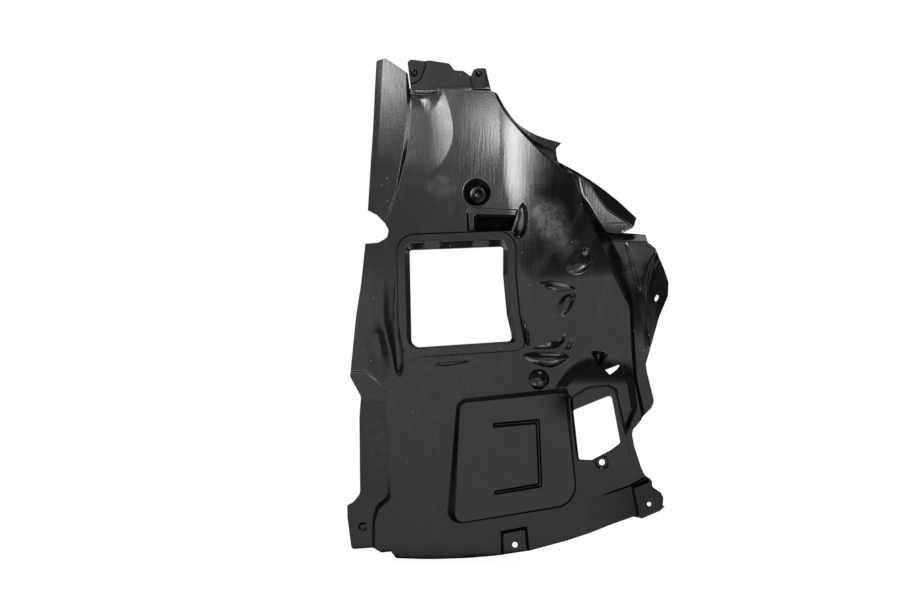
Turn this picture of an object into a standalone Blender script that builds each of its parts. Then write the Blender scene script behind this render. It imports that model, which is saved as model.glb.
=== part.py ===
"""Front section of the liner of a car's wheel arch, one sheet of black plastic, thermoformed and trimmed.

The sheet is drawn on the X-Z plane in millimetres, as its maker would draw the mould: an arch curve first,
then one pressing after another, each between the rim and the floor of its own sketch. A pressing moves the
sheet along Y. -Y is the side of the wheel, and a positive depth lies away from the wheel. The outline, the
windows and the holes are trimmed last. The mesh is in metres, +Z up, its origin at the centre of its box.
"""

import math
from collections import namedtuple

import bmesh
import bpy
import numpy as np
from mathutils import Vector
from mathutils.geometry import delaunay_2d_cdt

MM = 0.001

# Sheet and arch
SHEET_THICKNESS = 2.2
ARCH_RADIUS = 450.0
ARCH_START_Z = 40.0
ARCH_SHARE = 0.98
FLANGE_START_Z = 326.0
FLANGE_LEFT_X = -146.0
FLANGE_RIGHT_X = -26.0
ROLL_RADIUS = 200.0
ROLL_WIDTH = 84.0
ROLL_FIRST_SLOPE = 0.08
ROLL_FIRST_RUN = 6.0
HOLLOW_SLOPE = 0.2
HOLLOW_RUN = 8.0
HOLLOW_BLEND = 6.0
SHOULDER_SLOPE = 0.14

# Blade, the raised strip up the left edge, and the fold along its free side
BLADE_STEP_TOP = 12.0
BLADE_STEP_FOOT = 4.0
BLADE_FOOT_Z = 135.0
BLADE_TOP_Z = 350.0
BLADE_FOLD_DEPTH = 5.0
BLADE_FOLD_WIDTH = 16.0
BLADE_FOLD_START_Z = 170.0
BLADE_FOLD_FULL_Z = 255.0

# Head of the body, with its crowned pad, valley and fixing tabs
CROWN_RISE = 9.0
CROWN_FOOT_Z = 195.0
CROWN_FULL_Z = 285.0
VALLEY_DEPTH = 4.0
TAB_SEAT_DEPTH = 3.0
TAB_RISE = 3.0
DRAWN_WALL = 2.0
FIXING_DIMPLE_DEPTH = 5.0
LEFT_FIXING = (-140.0, 349.0)
LEFT_FIXING_RADIUS = 5.5
RIGHT_FIXING = (-44.0, 347.5)
RIGHT_FIXING_RADIUS = 4.5

# Deep cup with a screw seat in its floor
CUP_CENTRE = (-47.0, 174.5)
CUP_RADIUS = 21.5
CUP_FLOOR_RADIUS = 11.0
CUP_DEPTH = 22.0
CUP_FLOOR_SHIFT = (2.0, -4.0)
CUP_SEAT_RADIUS = 6.5
CUP_SEAT_DEPTH = 5.0

# Duct pocket and the spoon-shaped pocket at its end
DUCT_FRAME_DEPTH = 6.0
DUCT_MOUTH_Z = 117.5
DUCT_MOUTH_DEPTH = 3.0
DUCT_SLOPE = 1.1
SPOON_DEPTH = 9.0
SPOON_FLOOR_SHARE = (0.7, 0.8)
SPOON_FLOOR_SHIFT = (0.5, 1.5)

# Large window, its sloping return wall and its raised frame
WINDOW_RETURN_DEPTH_TOP = 14.0
WINDOW_RETURN_DEPTH_FOOT = 3.0
WINDOW_RETURN_RUN_TOP = 12.0
WINDOW_RETURN_RUN_SIDE = 7.5
WINDOW_RETURN_RUN_FOOT = 3.0
FRAME_RISE = 2.5
FRAME_WIDTH = 13.0
FRAME_WALL = 2.2
LUG_WIDTH = 27.0
LUG_LEFT_X = -114.0
LUG_RIGHT_X = -40.5
LUG_DEPTH = 1.0
LUG_ABOVE_EDGE = 11.0
LUG_BELOW_EDGE = 8.0

# Service panel, a recess under the window with a channel pressed in its floor
SERVICE_DEPTH = 10.0
SERVICE_CENTRE_Z = -220.0
SERVICE_TILT_X = -0.045
SERVICE_TILT_Z = 0.03
CHANNEL_DEPTH = 4.0
CHANNEL_WALL = 3.0

# Small window, its hood and the ledge below it
HOOD_RISE = 9.0
HOOD_TOP_RISE = 1.5
HOOD_CREST_Z = -86.0
HOOD_LIP_Z = -120.0
POCKET_DEPTH_TOP = 10.0
POCKET_TOP_Z = -118.0
POCKET_FOOT_Z = -232.0
POCKET_WALL = 5.0
LEDGE_DEPTH = 7.0
LEDGE_WALL = 3.5

# Side wall to the right of the body, its flanges and the wing above it
WING_LEVEL_AT_ORIGIN = -27.0
WING_SLOPE = 0.3
LIP_DEPTH = 10.0
LIP_SLOPE = 0.15
SIDE_FOLD_DEPTH = 12.0
SIDE_TOP_FOLD_DEPTH = 10.0
SIDE_TOP_FOLD_RUN = 14.0

# Left flange with its groove and pillow
LEFT_STEP_DEPTH = 8.0
LEFT_STEP_TOP_Z = -137.0
LEFT_STEP_FOOT_Z = -284.0
GROOVE_DEPTH = 5.0
GROOVE_FLOOR_SHARE = (0.35, 0.9)
GROOVE_FLOOR_SHIFT = (0.0, -6.0)
PILLOW_RISE = 4.0
PILLOW_TOP_SHARE = (0.4, 0.6)
CHIN_DEPTH = 3.0
CHIN_WALL = 4.0

# Fixing tabs at the foot
CENTRE_TAB_DEPTH = 5.0
CENTRE_TAB_WALL = 4.0
CENTRE_TAB_HOLE = (10.5, -354.5)
CENTRE_TAB_HOLE_RADIUS = 4.2
RIGHT_TAB_RISE = 6.0
RIGHT_TAB_WALL = 6.0
RIGHT_TAB_HOLE = (211.5, -293.0)
RIGHT_TAB_HOLE_RADIUS = 3.2
LEFT_TAB_DIMPLE = (-218.0, -327.5)
LEFT_TAB_DIMPLE_RADIUS = 7.0
LEFT_TAB_DIMPLE_DEPTH = 2.0
SCREW_HOLE = (141.0, -230.5)
SCREW_HOLE_RADIUS = 4.5
SCREW_SEAT_RADIUS = 11.0
SCREW_SEAT_DEPTH = 2.0
SLOT_CENTRE = (224.3, 15.8)
SLOT_HALF_LENGTH = 5.0
SLOT_RADIUS = 2.4
SLOT_TILT = math.radians(65.0)

# Stiffening scoops and dimples
SCOOP_DEPTH = 4.0
EYE_DEPTH = -6.0
ROUND_DIMPLE_CENTRE = (46.0, -106.5)
ROUND_DIMPLE_RADII = (16.5, 16.5)
ROUND_DIMPLE_DEPTH = -6.5
OVAL_DIMPLE_CENTRE = (108.0, 71.5)
OVAL_DIMPLE_RADII = (21.5, 19.0)
OVAL_DIMPLE_DEPTH = -8.0
BOWL_FLOOR_SHARE = 0.1
DOME_FILLET = 0.12
NOTCH_DIMPLE_DEPTH = 10.0

# Fineness of the facets
ARC_STEP = math.radians(32.0)
ARC_SHARE = 0.48
LEAST_TURN = 0.02
LEAST_RADIUS = 0.6
CURVE_POINTS = 2
CURVED_STEP = 15.0
FLAT_STEP = 55.0
CURVED_FROM_Z = 25.0
GRID_CLEARANCE = 0.42
LINE_MARGIN = 4.0
SLOPE_REACH = 0.8
THINNING = 0.25
SKETCH_SIDE_X = -300.0
MERGE_DISTANCE = 0.05
PLASTIC_COLOUR = (0.018, 0.018, 0.02, 1.0)
PLASTIC_ROUGHNESS = 0.28

# Trim line of the sheet, clockwise from the top of the blade: x, z and the radius of the corner
OUTLINE = [
    (-195, 365, 4), (-181, 368, 1), (-152, 349, 0), (-149.2, 347.5, 0), (-146.4, 326, 0), (-144.8, 326, 0),
    (-147.8, 349, 0), (-149.5, 365, 3), (-145, 369, 3), (-124, 366.5, 2), (-117, 367.5, 2), (-88, 363, 3),
    (-80.5, 353, 2), (-67, 352, 3), (-56, 344, 0), (-52, 353.5, 3), (-46, 355.8, 2), (-34, 356, 3),
    (-30.5, 341.5, 0), (-26, 323, 1), (-17, 319.5, 2), (-6, 300, 40), (11, 277.5, 60), (29, 265.5, 60),
    (49, 256.7, 80), (80, 248.5, 0), (72, 240, 1.5), (73, 229, 8), (75, 220.5, 4), (112, 201.3, 200),
    (157, 170, 200), (194, 136.5, 3), (189, 122, 3), (174, 114.5, 0), (208, 111.5, 1.5), (211, 100, 4),
    (222.5, 91, 4), (236, 60, 60), (242.5, 40, 10), (241.5, 19, 8), (228, -12, 60), (217, -50, 30),
    (207, -83, 10), (209, -96, 20), (219.5, -138.5, 8), (215.5, -149, 6), (202, -162.5, 3), (199, -168, 3),
    (187.5, -181.5, 6), (186.3, -189, 10), (189.5, -206.5, 40), (200, -239, 60), (205, -249.5, 12),
    (215.5, -257, 0), (216.5, -267, 4), (229.5, -276, 8), (233, -284, 6), (232, -295, 1), (235, -296.5, 0),
    (228, -303, 2), (201, -314.5, 2), (187.5, -312.5, 1), (149.5, -326, 200), (107, -343, 300),
    (31, -363.5, 1), (-13.5, -370.2, 200), (-61, -374.3, 300), (-118, -376, 300), (-168, -374.5, 5),
    (-175.5, -364.5, 1), (-190, -366, 4), (-202, -359, 3), (-235, -361.3, 5), (-241, -315, 60),
    (-241.5, -295.5, 1), (-232.5, -290.5, 10), (-222, -278, 14), (-222.5, -231, 100), (-223, -161, 100),
    (-220.5, -132, 10), (-237, -102, 3), (-234.5, -76, 60), (-228, -11, 100), (-220.5, 37, 60),
    (-214, 97.5, 0),
    (-194.5, 99, 14), (-181, 107, 10), (-179, 118, 8), (-185, 128.5, 12), (-196.5, 140, 12),
    (-210, 147, 0), (-205, 222, 200), (-201.5, 266, 200), (-198, 324, 100),
]
WINDOW = [
    (-147.6, 87.5, 3), (-7.2, 93, 4), (-7.5, 50.5, 40), (-1.8, -10, 8), (4.8, -37, 8), (5.5, -48.5, 9),
    (-144.6, -58.5, 12),
]
SMALL_WINDOW = [
    (98.3, -152.5, 3), (155.3, -129.5, 5), (168.7, -201.5, 5), (154.5, -212, 4), (126, -227, 4),
    (106.5, -226.3, 4),
]
SLIVER = [(145.5, -92, 0.6), (168.5, -83.5, 1), (163.5, -91, 1), (153, -99, 0.6)]

# Blade: where its wall leaves the body, and where it reaches the blade
BLADE_WALL_FOOT = [
    (-148, 420), (-148, 349), (-145.6, 326), (-143.8, 301), (-144.4, 277), (-146.5, 253), (-151.6, 228.5),
    (-163.5, 182.5), (-172, 158), (-181, 134), (-192, 118), (-270, 118), (-270, 420),
]
BLADE_EDGE = [
    (-151.5, 420), (-151.5, 347), (-151, 333), (-151.2, 309), (-152, 285), (-154.5, 261), (-157.5, 236.5),
    (-167, 183), (-174.5, 158), (-184, 134), (-196, 122), (-275, 122), (-275, 420),
]
BLADE_FOLD = [(-181.5, 420), (-182.5, 366), (-186.5, 309), (-191, 256), (-195, 195), (-197, 165)]

# Head of the body
CROWN_RIM = [
    (-95, 325, 6), (-86, 292, 60), (-81, 262, 60), (-88, 235, 60), (-105, 208, 60), (-150, 180, 40),
    (-175, 230, 20), (-162, 319, 5), (-122, 316.5, 30),
]
CROWN_TOP = [
    (-131, 310, 4), (-126, 290, 40), (-120, 265, 40), (-124, 250, 30), (-134, 240, 30), (-165, 235, 20),
    (-172, 250, 10), (-166, 308, 4), (-142, 309, 10),
]
VALLEY = [(-143, 325.8, 0), (-102, 325.8, 0), (-109, 319.5, 8), (-123, 317.5, 20), (-142, 319, 1)]
LEFT_SEAT = [
    (-155, 385, 0), (-120.5, 385, 0), (-122.5, 357, 20), (-130, 338, 14), (-141, 332, 6), (-155, 332, 0),
]
RIGHT_TAB = [(-56.5, 385, 0), (-57, 336, 4), (-53, 324, 1), (-15, 323, 0), (-15, 385, 0)]

# Pockets beside the window
DUCT_FRAME = [(-56, 152.5, 4), (16, 149, 1), (5, 116.5, 1), (-61.5, 116.5, 1), (-63.5, 143, 3)]
DUCT_WALLS = (2.0, 2.5, 1.5, 4.5, 3.0)
DUCT_POCKET = [(-49.5, 139, 3), (12.5, 137.5, 1), (3, 118, 1), (-49.5, 118, 1)]
SPOON = [
    (24, 161), (29.5, 151), (30.8, 136), (29.3, 121), (25.5, 109.8), (18, 104.5), (10, 106.5), (6.5, 114),
    (14.5, 135), (16.5, 152),
]
WINDOW_LEAF = [(15, 4), (24, -14), (31.5, -38), (33.5, -56), (25, -51.5), (18.5, -24.5)]
WINDOW_LENS = [(-114, -85.5), (-94.5, -87), (-69, -82), (-49.5, -76.5), (-72, -78), (-102, -81)]

# Right-hand side: the body's convex edge, the foot of the side wall, and the folds beyond it
BODY_EDGE = [
    (97, 204, 0), (106, 174, 60), (121, 131.5, 60), (146, 77.5, 200), (171, 23, 60), (182, 2, 12),
    (184, -45, 60), (186, -75, 60), (188, -105, 60), (199, -155, 20), (200, -185, 0), (300, -185, 0),
    (300, 204, 0),
]
SIDE_FOOT = [
    (108, 202, 0), (121, 163, 60), (136, 137, 60), (155, 108, 60), (176, 66, 60), (188, 16, 20),
    (190.5, -45, 60), (192, -75, 60), (194, -105, 60), (205, -155, 20), (207, -190, 0), (310, -190, 0),
    (310, 202, 0),
]
SIDE_LEVELS = [
    (-190, 3), (-150, 8), (-60, 8), (-20, 12), (5, 20), (70, 34), (110, 36), (136, 30), (163, 20), (200, 6),
]
SIDE_FOLD = [
    (222, 88, 2), (208, 68, 20), (197, 38, 20), (190, 20, 8), (203, -30, 20), (205, -62, 10),
    (300, -62, 0), (300, 88, 0),
]
SIDE_FOLD_END = [
    (240, 90, 2), (228, 62, 20), (220, 38, 20), (212, 12, 8), (213, -30, 20), (215, -66, 10),
    (320, -66, 0), (320, 90, 0),
]
SIDE_TOP_FOLD = [(150, 101, 0), (212, 99, 0), (240, 99, 0), (240, 130, 0), (150, 130, 0)]
WING = [
    (70, 226, 0), (88, 207, 4), (122, 186.5, 6), (136, 164, 20), (150, 147, 20), (191, 120.5, 0),
    (230, 110, 0), (230, 240, 0), (100, 260, 0),
]
LIP_FOOT = [
    (-24, 326, 0), (-18, 311, 30), (-4.5, 288, 60), (12, 270, 80), (30, 251, 80), (52, 230, 80),
    (71, 213.5, 60), (92, 203, 0), (160, 260, 0), (60, 340, 0),
]
LIP = [
    (-18, 322, 0), (-13, 312, 30), (3, 285, 60), (20, 266.5, 80), (41, 250, 60), (68, 239.5, 20),
    (78, 226, 6), (99, 212, 0), (175, 262, 0), (60, 350, 0),
]

# Ridge down the body: its x at each z, from which the sheet rolls away to the right
RIDGE = [(38, 17), (100, 14), (140, 5), (178, -9), (318, -12), (500, -12)]

# Bend under the hollow to the right of the ridge: its z at each x
BEND = [(15, 31), (150, 43)]

# Shoulder between the crowned pad and the ridge: where it starts to tilt, and how it fades out downwards
SHOULDER_START_X = -78.0
SHOULDER_FADE = [(222, 0.0), (262, 1.0)]

# Left flange
LEFT_STEP = [
    (-186, -130, 0), (-179, -189.5, 60), (-174.8, -257, 40), (-174.8, -285, 10), (-193.5, -302, 14),
    (-198.8, -320, 20), (-199.3, -390, 0), (-300, -390, 0), (-300, -130, 0),
]
LEFT_STEP_FLOOR = [
    (-189, -136, 0), (-184, -204.5, 60), (-182.5, -257, 40), (-182.3, -281, 8), (-199, -296, 14),
    (-204.2, -316, 20), (-204.8, -395, 0), (-310, -395, 0), (-310, -136, 0),
]
GROOVE = [
    (-189, 96), (-188, 61), (-190, 13), (-186, -24.5), (-176, -62), (-169.5, -92), (-163, -103),
    (-156.5, -96), (-153.5, -77), (-156.5, -54), (-163, -28), (-169, 13), (-171, 61), (-175, 96),
]
PILLOW = [
    (-221, -14), (-199.5, 4), (-188, -24.5), (-178, -62), (-173, -95), (-186, -116), (-206, -99.5),
    (-216, -62),
]
CHIN = [(-260, -93, 0), (-213, -92.5, 4), (-197, -106, 6), (-182, -122, 4), (-186, -139, 4), (-260, -139, 0)]

# Recesses and raised tabs of the lower body
SERVICE = [(-76.5, -135.5, 16), (90, -117.5, 4), (105.5, -294, 34), (-94, -326, 20)]
SERVICE_FLOOR = [(-71.5, -142.5, 12), (84.5, -127.5, 4), (102.8, -292, 32), (-79.5, -323, 12)]
CHANNEL = [
    (-23, -171.5, 1), (48, -165, 2), (52, -268.5, 3), (-23, -281, 1), (-20, -273, 1), (45, -262, 2),
    (41.5, -174, 2), (-23, -179.5, 1),
]
HOOD = [
    (66, -122, 2), (90, -86, 12), (112, -66, 12), (150, -62, 12), (184.5, -44, 3), (187, -75, 30),
    (189, -105, 20), (195, -150, 5), (180, -190, 5), (110, -190, 5), (92, -135, 2),
]
HOOD_TOP = [
    (88, -119, 2), (101, -103, 12), (115, -90, 10), (127, -87.5, 12), (141, -92.5, 4), (153, -103, 8),
    (176, -101, 8), (184, -150, 5), (170, -180, 5), (115, -180, 5), (98, -138, 2),
]
POCKET = [
    (92, -133, 3), (118, -116.5, 14), (150, -112.5, 10), (163.5, -119, 8), (169, -138, 30), (184, -209, 30),
    (186, -240, 10), (104, -240, 6),
]
LEDGE = [(110, -289.5, 0), (181, -264.5, 60), (207, -251, 0), (300, -251, 0), (300, -420, 0), (110, -420, 0)]
RIGHT_TAB_BOX = [(183.5, -266, 1), (217, -252, 1), (270, -252, 0), (270, -340, 0), (197.5, -340, 0)]
CENTRE_TAB = [(-11.5, -333.5, 1), (29.5, -326, 1), (36, -400, 0), (-11, -400, 0)]

# Scoops that stiffen the flat of the body
UPPER_SCOOP = [(46, 38.5), (63, 42), (85.5, 38), (104, 29.5), (90, 25.5), (75, 26), (60, 30)]
UPPER_LEAF = [(102, 22), (99, 8.5), (90, -6.5), (81, -12.5), (75, -5), (75, 8), (82.5, 18), (92, 22.5)]
LOWER_SCOOP = [
    (89, -34), (78, -44), (60, -52), (40.5, -56), (21, -58), (33, -61.5), (60, -61.5), (75, -59), (84, -50),
]
LOWER_EYE = [
    (18.5, -70), (33, -65), (60, -64), (81, -65.5), (92.5, -72), (86, -81), (66, -89.5), (46, -86), (29, -79),
]
SMALL_LEAF = [(97, -44), (94, -60.5), (84, -60.5), (91, -50)]
NOTCH_DIMPLE = [(121.5, -60.5, 3), (153.5, -65.5, 3), (136, -88, 2)]
NOTCH_VALLEY = [(134.2, -69.5, 0), (137, -69.5, 0), (135.8, -83, 0)]

# Each round or oval dimple of the flat: its centre, radii and depth, and the shift of its top
DIMPLES = [
    (ROUND_DIMPLE_CENTRE, ROUND_DIMPLE_RADII, ROUND_DIMPLE_DEPTH, (0.0, 0.0)),
    (OVAL_DIMPLE_CENTRE, OVAL_DIMPLE_RADII, OVAL_DIMPLE_DEPTH, (-3.0, 6.0)),
]

# Each scoop: its sketch, its depth, and how its floor is drawn in and shifted from its rim
SCOOPS = [
    (UPPER_SCOOP, -SCOOP_DEPTH, (0.75, 0.35), (0.0, 0.0)),
    (UPPER_LEAF, -SCOOP_DEPTH, (0.4, 0.7), (1.0, 0.0)),
    (LOWER_SCOOP, SCOOP_DEPTH, (0.7, 0.3), (2.0, 3.0)),
    (LOWER_EYE, EYE_DEPTH, (0.65, 0.35), (0.0, 2.0)),
    (SMALL_LEAF, SCOOP_DEPTH / 2.0, (0.4, 0.4), (1.0, -1.0)),
    (WINDOW_LEAF, SCOOP_DEPTH, (0.25, 0.7), (3.0, 0.0)),
    (WINDOW_LENS, SCOOP_DEPTH / 2.0, (0.7, 0.4), (0.0, 0.0)),
]

Pressing = namedtuple("Pressing", "rim floor level profile rings", defaults=(0,))


def arc_loop(corners):
    """A closed loop through corners (x, z, radius), each rounded by a tangent arc where its radius allows."""
    loop = []
    for index, (x, z, radius) in enumerate(corners):
        corner = np.array((x, z), dtype=float)
        before = np.array(corners[index - 1][:2], dtype=float) - corner
        after = np.array(corners[(index + 1) % len(corners)][:2], dtype=float) - corner
        reach_before = np.linalg.norm(before)
        reach_after = np.linalg.norm(after)
        before /= reach_before
        after /= reach_after
        half = math.acos(max(-1.0, min(1.0, float(before @ after)))) / 2.0
        turn = math.pi - 2.0 * half
        if radius <= 0.0 or turn < LEAST_TURN:
            loop.append(corner)
            continue
        setback = min(radius / math.tan(half), ARC_SHARE * reach_before, ARC_SHARE * reach_after)
        used_radius = setback * math.tan(half)
        bisector = before + after
        bisector /= np.linalg.norm(bisector)
        centre = corner + bisector * used_radius / math.sin(half)
        start = corner + before * setback - centre
        end = corner + after * setback - centre
        steps = max(1, math.ceil(turn / ARC_STEP))
        for step in range(steps + 1):
            share = step / steps
            point = math.sin((1.0 - share) * turn) * start + math.sin(share * turn) * end
            loop.append(centre + point / math.sin(turn))
    return np.array(loop)


def smooth_loop(points):
    """A closed smooth curve through points (x, z), with a few points on each stretch."""
    points = np.array(points, dtype=float)
    shares = np.arange(CURVE_POINTS)[:, None] / CURVE_POINTS
    stretches = []
    for index in range(len(points)):
        p0, p1, p2, p3 = points[[index - 1, index, (index + 1) % len(points), (index + 2) % len(points)]]
        stretch = 2.0 * p1 + (p2 - p0) * shares + (2.0 * p0 - 5.0 * p1 + 4.0 * p2 - p3) * shares**2
        stretches.append(0.5 * (stretch + (3.0 * p1 - p0 - 3.0 * p2 + p3) * shares**3))
    return np.vstack(stretches)


def oval(centre, radius_x, radius_z, sides=12):
    """An oval loop around centre, with as many sides as asked."""
    angles = 2.0 * math.pi * np.arange(sides) / sides
    return np.array(centre) + np.column_stack((radius_x * np.cos(angles), radius_z * np.sin(angles)))


def inset(corners, widths):
    """Corners moved inward by one width for each side, the first from the first corner to the second."""
    count = len(corners)
    points = [np.array(corner[:2], dtype=float) for corner in corners]
    twice_area = sum(points[i - 1][0] * points[i][1] - points[i][0] * points[i - 1][1] for i in range(count))
    inward = 1.0 if twice_area > 0.0 else -1.0
    if np.isscalar(widths):
        widths = [widths] * count
    lines = []
    for index in range(count):
        along = points[(index + 1) % count] - points[index]
        along /= np.linalg.norm(along)
        normal = inward * np.array((-along[1], along[0]))
        lines.append((points[index] + normal * widths[index], along, normal))
    moved = []
    for index in range(count):
        origin, along, _ = lines[index - 1]
        other, _, normal = lines[index]
        slide = float((other - origin) @ normal) / float(along @ normal)
        place = origin + along * slide
        smaller = max(0.0, corners[index][2] - min(widths[index - 1], widths[index]))
        radius = 0.0 if corners[index][2] == 0 else max(LEAST_RADIUS, smaller)
        moved.append((float(place[0]), float(place[1]), radius))
    return moved


def shrunk(loop, scale, shift=(0.0, 0.0)):
    """A loop drawn in towards its own centre by a scale along X and along Z, then shifted."""
    centre = loop.mean(axis=0)
    return centre + (loop - centre) * np.array(scale) + np.array(shift)


def contains(loop, points):
    """True for each point inside a closed loop, by the even-odd rule."""
    inside = np.zeros(len(points), dtype=bool)
    x, z = points[:, 0], points[:, 1]
    for (ax, az), (bx, bz) in zip(loop, np.roll(loop, -1, axis=0)):
        crosses = (az > z) != (bz > z)
        if az != bz:
            inside ^= crosses & (x < (bx - ax) * (z - az) / (bz - az) + ax)
    return inside


def distance_to(loop, points, closed=True):
    """Distance from each point to the nearest place on a loop or an open line."""
    ends = np.roll(loop, -1, axis=0)
    nearest = np.full(len(points), np.inf)
    for start, end in list(zip(loop, ends))[: None if closed else -1]:
        along = end - start
        share = np.clip((points - start) @ along / max(float(along @ along), 1e-9), 0.0, 1.0)
        gap = points - start - share[:, None] * along
        nearest = np.minimum(nearest, np.hypot(gap[:, 0], gap[:, 1]))
    return nearest


def ramp(share, rounding=0.2):
    """A straight ramp from 0 to 1 with rounded ends."""
    slope = 1.0 / (1.0 - rounding)
    low = slope * share**2 / (2.0 * rounding)
    high = 1.0 - slope * (1.0 - share) ** 2 / (2.0 * rounding)
    middle = slope * (share - rounding / 2.0)
    return np.where(share < rounding, low, np.where(share > 1.0 - rounding, high, middle))


def dome(share):
    """A small fillet at the rim, steep inside it and level at the top, as a dimple is."""
    inner = 1.0 - ((1.0 - share) / (1.0 - DOME_FILLET)) ** 2
    return np.where(share < DOME_FILLET, share**2 / DOME_FILLET, DOME_FILLET + (1.0 - DOME_FILLET) * inner)


def crowned(share):
    """Very steep at the rim, and easing off to a wide level top."""
    return 1.0 - (1.0 - share) ** 3


def soft(share):
    """Level at the rim and at the floor, as a fold with wide radii is."""
    return share**2 * (3.0 - 2.0 * share)


def arch_level(z):
    """Depth of the arch alone: flat below its start, then curving towards the wheel."""
    rise = np.clip(z - ARCH_START_Z, 0.0, ARCH_SHARE * ARCH_RADIUS)
    return np.sqrt(ARCH_RADIUS**2 - rise**2) - ARCH_RADIUS


def body_level(points):
    """Depth of the bare body: the arch, upright above the flange line, and rolled away right of its ridge."""
    x, z = points.T
    arch = arch_level(np.minimum(z, FLANGE_START_Z))
    past = np.maximum(x - np.interp(z, *zip(*RIDGE)), 0.0)
    roll = ROLL_FIRST_SLOPE * (past - ROLL_FIRST_RUN * (1.0 - np.exp(-past / ROLL_FIRST_RUN)))
    curved = np.minimum(past, ROLL_WIDTH)
    roll += (curved**2 / 2.0 + ROLL_WIDTH * (past - curved)) / ROLL_RADIUS
    above = np.maximum(z - np.interp(x, *zip(*BEND)), 0.0)
    hollow = HOLLOW_SLOPE * (above - HOLLOW_RUN * (1.0 - np.exp(-above / HOLLOW_RUN))) - arch
    gap = np.clip(0.5 + 0.5 * (hollow - roll) / HOLLOW_BLEND, 0.0, 1.0)
    rolled = hollow + (roll - hollow) * gap - HOLLOW_BLEND * gap * (1.0 - gap)
    rolled = np.where((past > 0.0) & (above > 0.0), np.maximum(rolled, 0.0), 0.0)
    ridge_x = RIDGE[-1][1]
    share = np.clip((x - SHOULDER_START_X) / (ridge_x - SHOULDER_START_X), 0.0, 1.0)
    tilt = SHOULDER_SLOPE * (ridge_x - SHOULDER_START_X) * share**2 / 2.0
    return arch + rolled + tilt * np.interp(z, *zip(*SHOULDER_FADE))


def moved_by(amount):
    """A level that lies the same amount deeper than the sheet around it, or nearer for a negative amount."""
    return lambda x, z, depth: depth + amount


def level_at(amount):
    """A flat level at one depth, whatever the sheet around it does."""
    return lambda x, z, depth: np.full_like(depth, amount)


def graded(z_values, amounts):
    """A level that lies deeper than the sheet around it by an amount that changes with height."""
    return lambda x, z, depth: depth + np.interp(z, z_values, amounts)


def blade():
    """The raised strip up the left edge, which keeps the arch curve to its top, and its folded free side."""
    def blade_level(x, z, depth):
        step = np.interp(z, (BLADE_FOOT_Z, BLADE_TOP_Z), (BLADE_STEP_FOOT, BLADE_STEP_TOP))
        return arch_level(z) - step

    fold = np.array(BLADE_FOLD, dtype=float)
    outer = np.array([(SKETCH_SIDE_X, BLADE_FOLD[-1][1]), (SKETCH_SIDE_X, BLADE_FOLD[0][1])])
    fold_end = fold - np.array((BLADE_FOLD_WIDTH, 0.0))
    raised = Pressing(np.array(BLADE_WALL_FOOT, float), np.array(BLADE_EDGE, float), blade_level, ramp)
    fading = graded((BLADE_FOLD_START_Z, BLADE_FOLD_FULL_Z), (0.0, BLADE_FOLD_DEPTH))
    folded = Pressing(np.vstack((fold, outer)), np.vstack((fold_end, outer)), fading, ramp)
    return [raised, folded]


def head():
    """The crowned pad, the valley under the flange and the two fixing tabs of the head."""
    crown_rise = graded((CROWN_FOOT_Z, CROWN_FULL_Z), (0.0, -CROWN_RISE))
    crown = Pressing(arc_loop(CROWN_RIM), arc_loop(CROWN_TOP), crown_rise, crowned)
    valley = Pressing(arc_loop(VALLEY), arc_loop(inset(VALLEY, DRAWN_WALL)), moved_by(VALLEY_DEPTH), ramp)
    seat_floor = arc_loop(inset(LEFT_SEAT, DRAWN_WALL))
    seat = Pressing(arc_loop(LEFT_SEAT), seat_floor, moved_by(TAB_SEAT_DEPTH), ramp)
    tab = Pressing(arc_loop(RIGHT_TAB), arc_loop(inset(RIGHT_TAB, DRAWN_WALL)), moved_by(-TAB_RISE), ramp)
    return [crown, valley, seat, tab]


def dimple(centre, radii, depth, floor_share=0.4, shift=(0.0, 0.0), profile=ramp, rings=0):
    """A round or oval dimple, whose floor or top may sit off its centre."""
    rim = oval(centre, *radii)
    return Pressing(rim, shrunk(rim, (floor_share, floor_share), shift), moved_by(depth), profile, rings)


def fixing_dimples():
    """The blind fixing points of the two head tabs and of the lower left tab."""
    left = dimple(LEFT_FIXING, (LEFT_FIXING_RADIUS,) * 2, FIXING_DIMPLE_DEPTH, 0.6)
    right = dimple(RIGHT_FIXING, (RIGHT_FIXING_RADIUS,) * 2, FIXING_DIMPLE_DEPTH, 0.6)
    foot = dimple(LEFT_TAB_DIMPLE, (LEFT_TAB_DIMPLE_RADIUS,) * 2, LEFT_TAB_DIMPLE_DEPTH, 0.5)
    return [left, right, foot]


def cup():
    """The deep round cup and the screw seat in its floor."""
    wall = dimple(CUP_CENTRE, (CUP_RADIUS,) * 2, CUP_DEPTH, CUP_FLOOR_RADIUS / CUP_RADIUS, CUP_FLOOR_SHIFT)
    seat_centre = np.array(CUP_CENTRE) + np.array(CUP_FLOOR_SHIFT)
    seat = dimple(seat_centre, (CUP_SEAT_RADIUS,) * 2, CUP_SEAT_DEPTH, 0.7)
    return [wall, seat]


def duct():
    """The framed pocket above the window, with its slanted floor, and the spoon-shaped pocket at its end."""
    def slanted(x, z, depth):
        return depth + DUCT_MOUTH_DEPTH + DUCT_SLOPE * (z - DUCT_MOUTH_Z)

    frame_floor = arc_loop(inset(DUCT_FRAME, DUCT_WALLS))
    frame = Pressing(arc_loop(DUCT_FRAME), frame_floor, moved_by(DUCT_FRAME_DEPTH), ramp)
    pocket = Pressing(arc_loop(DUCT_POCKET), arc_loop(inset(DUCT_POCKET, DRAWN_WALL)), slanted, ramp)
    spoon_rim = smooth_loop(SPOON)
    spoon_floor = shrunk(spoon_rim, SPOON_FLOOR_SHARE, SPOON_FLOOR_SHIFT)
    spoon = Pressing(spoon_rim, spoon_floor, moved_by(SPOON_DEPTH), ramp)
    return [frame, pocket, spoon]


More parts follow.
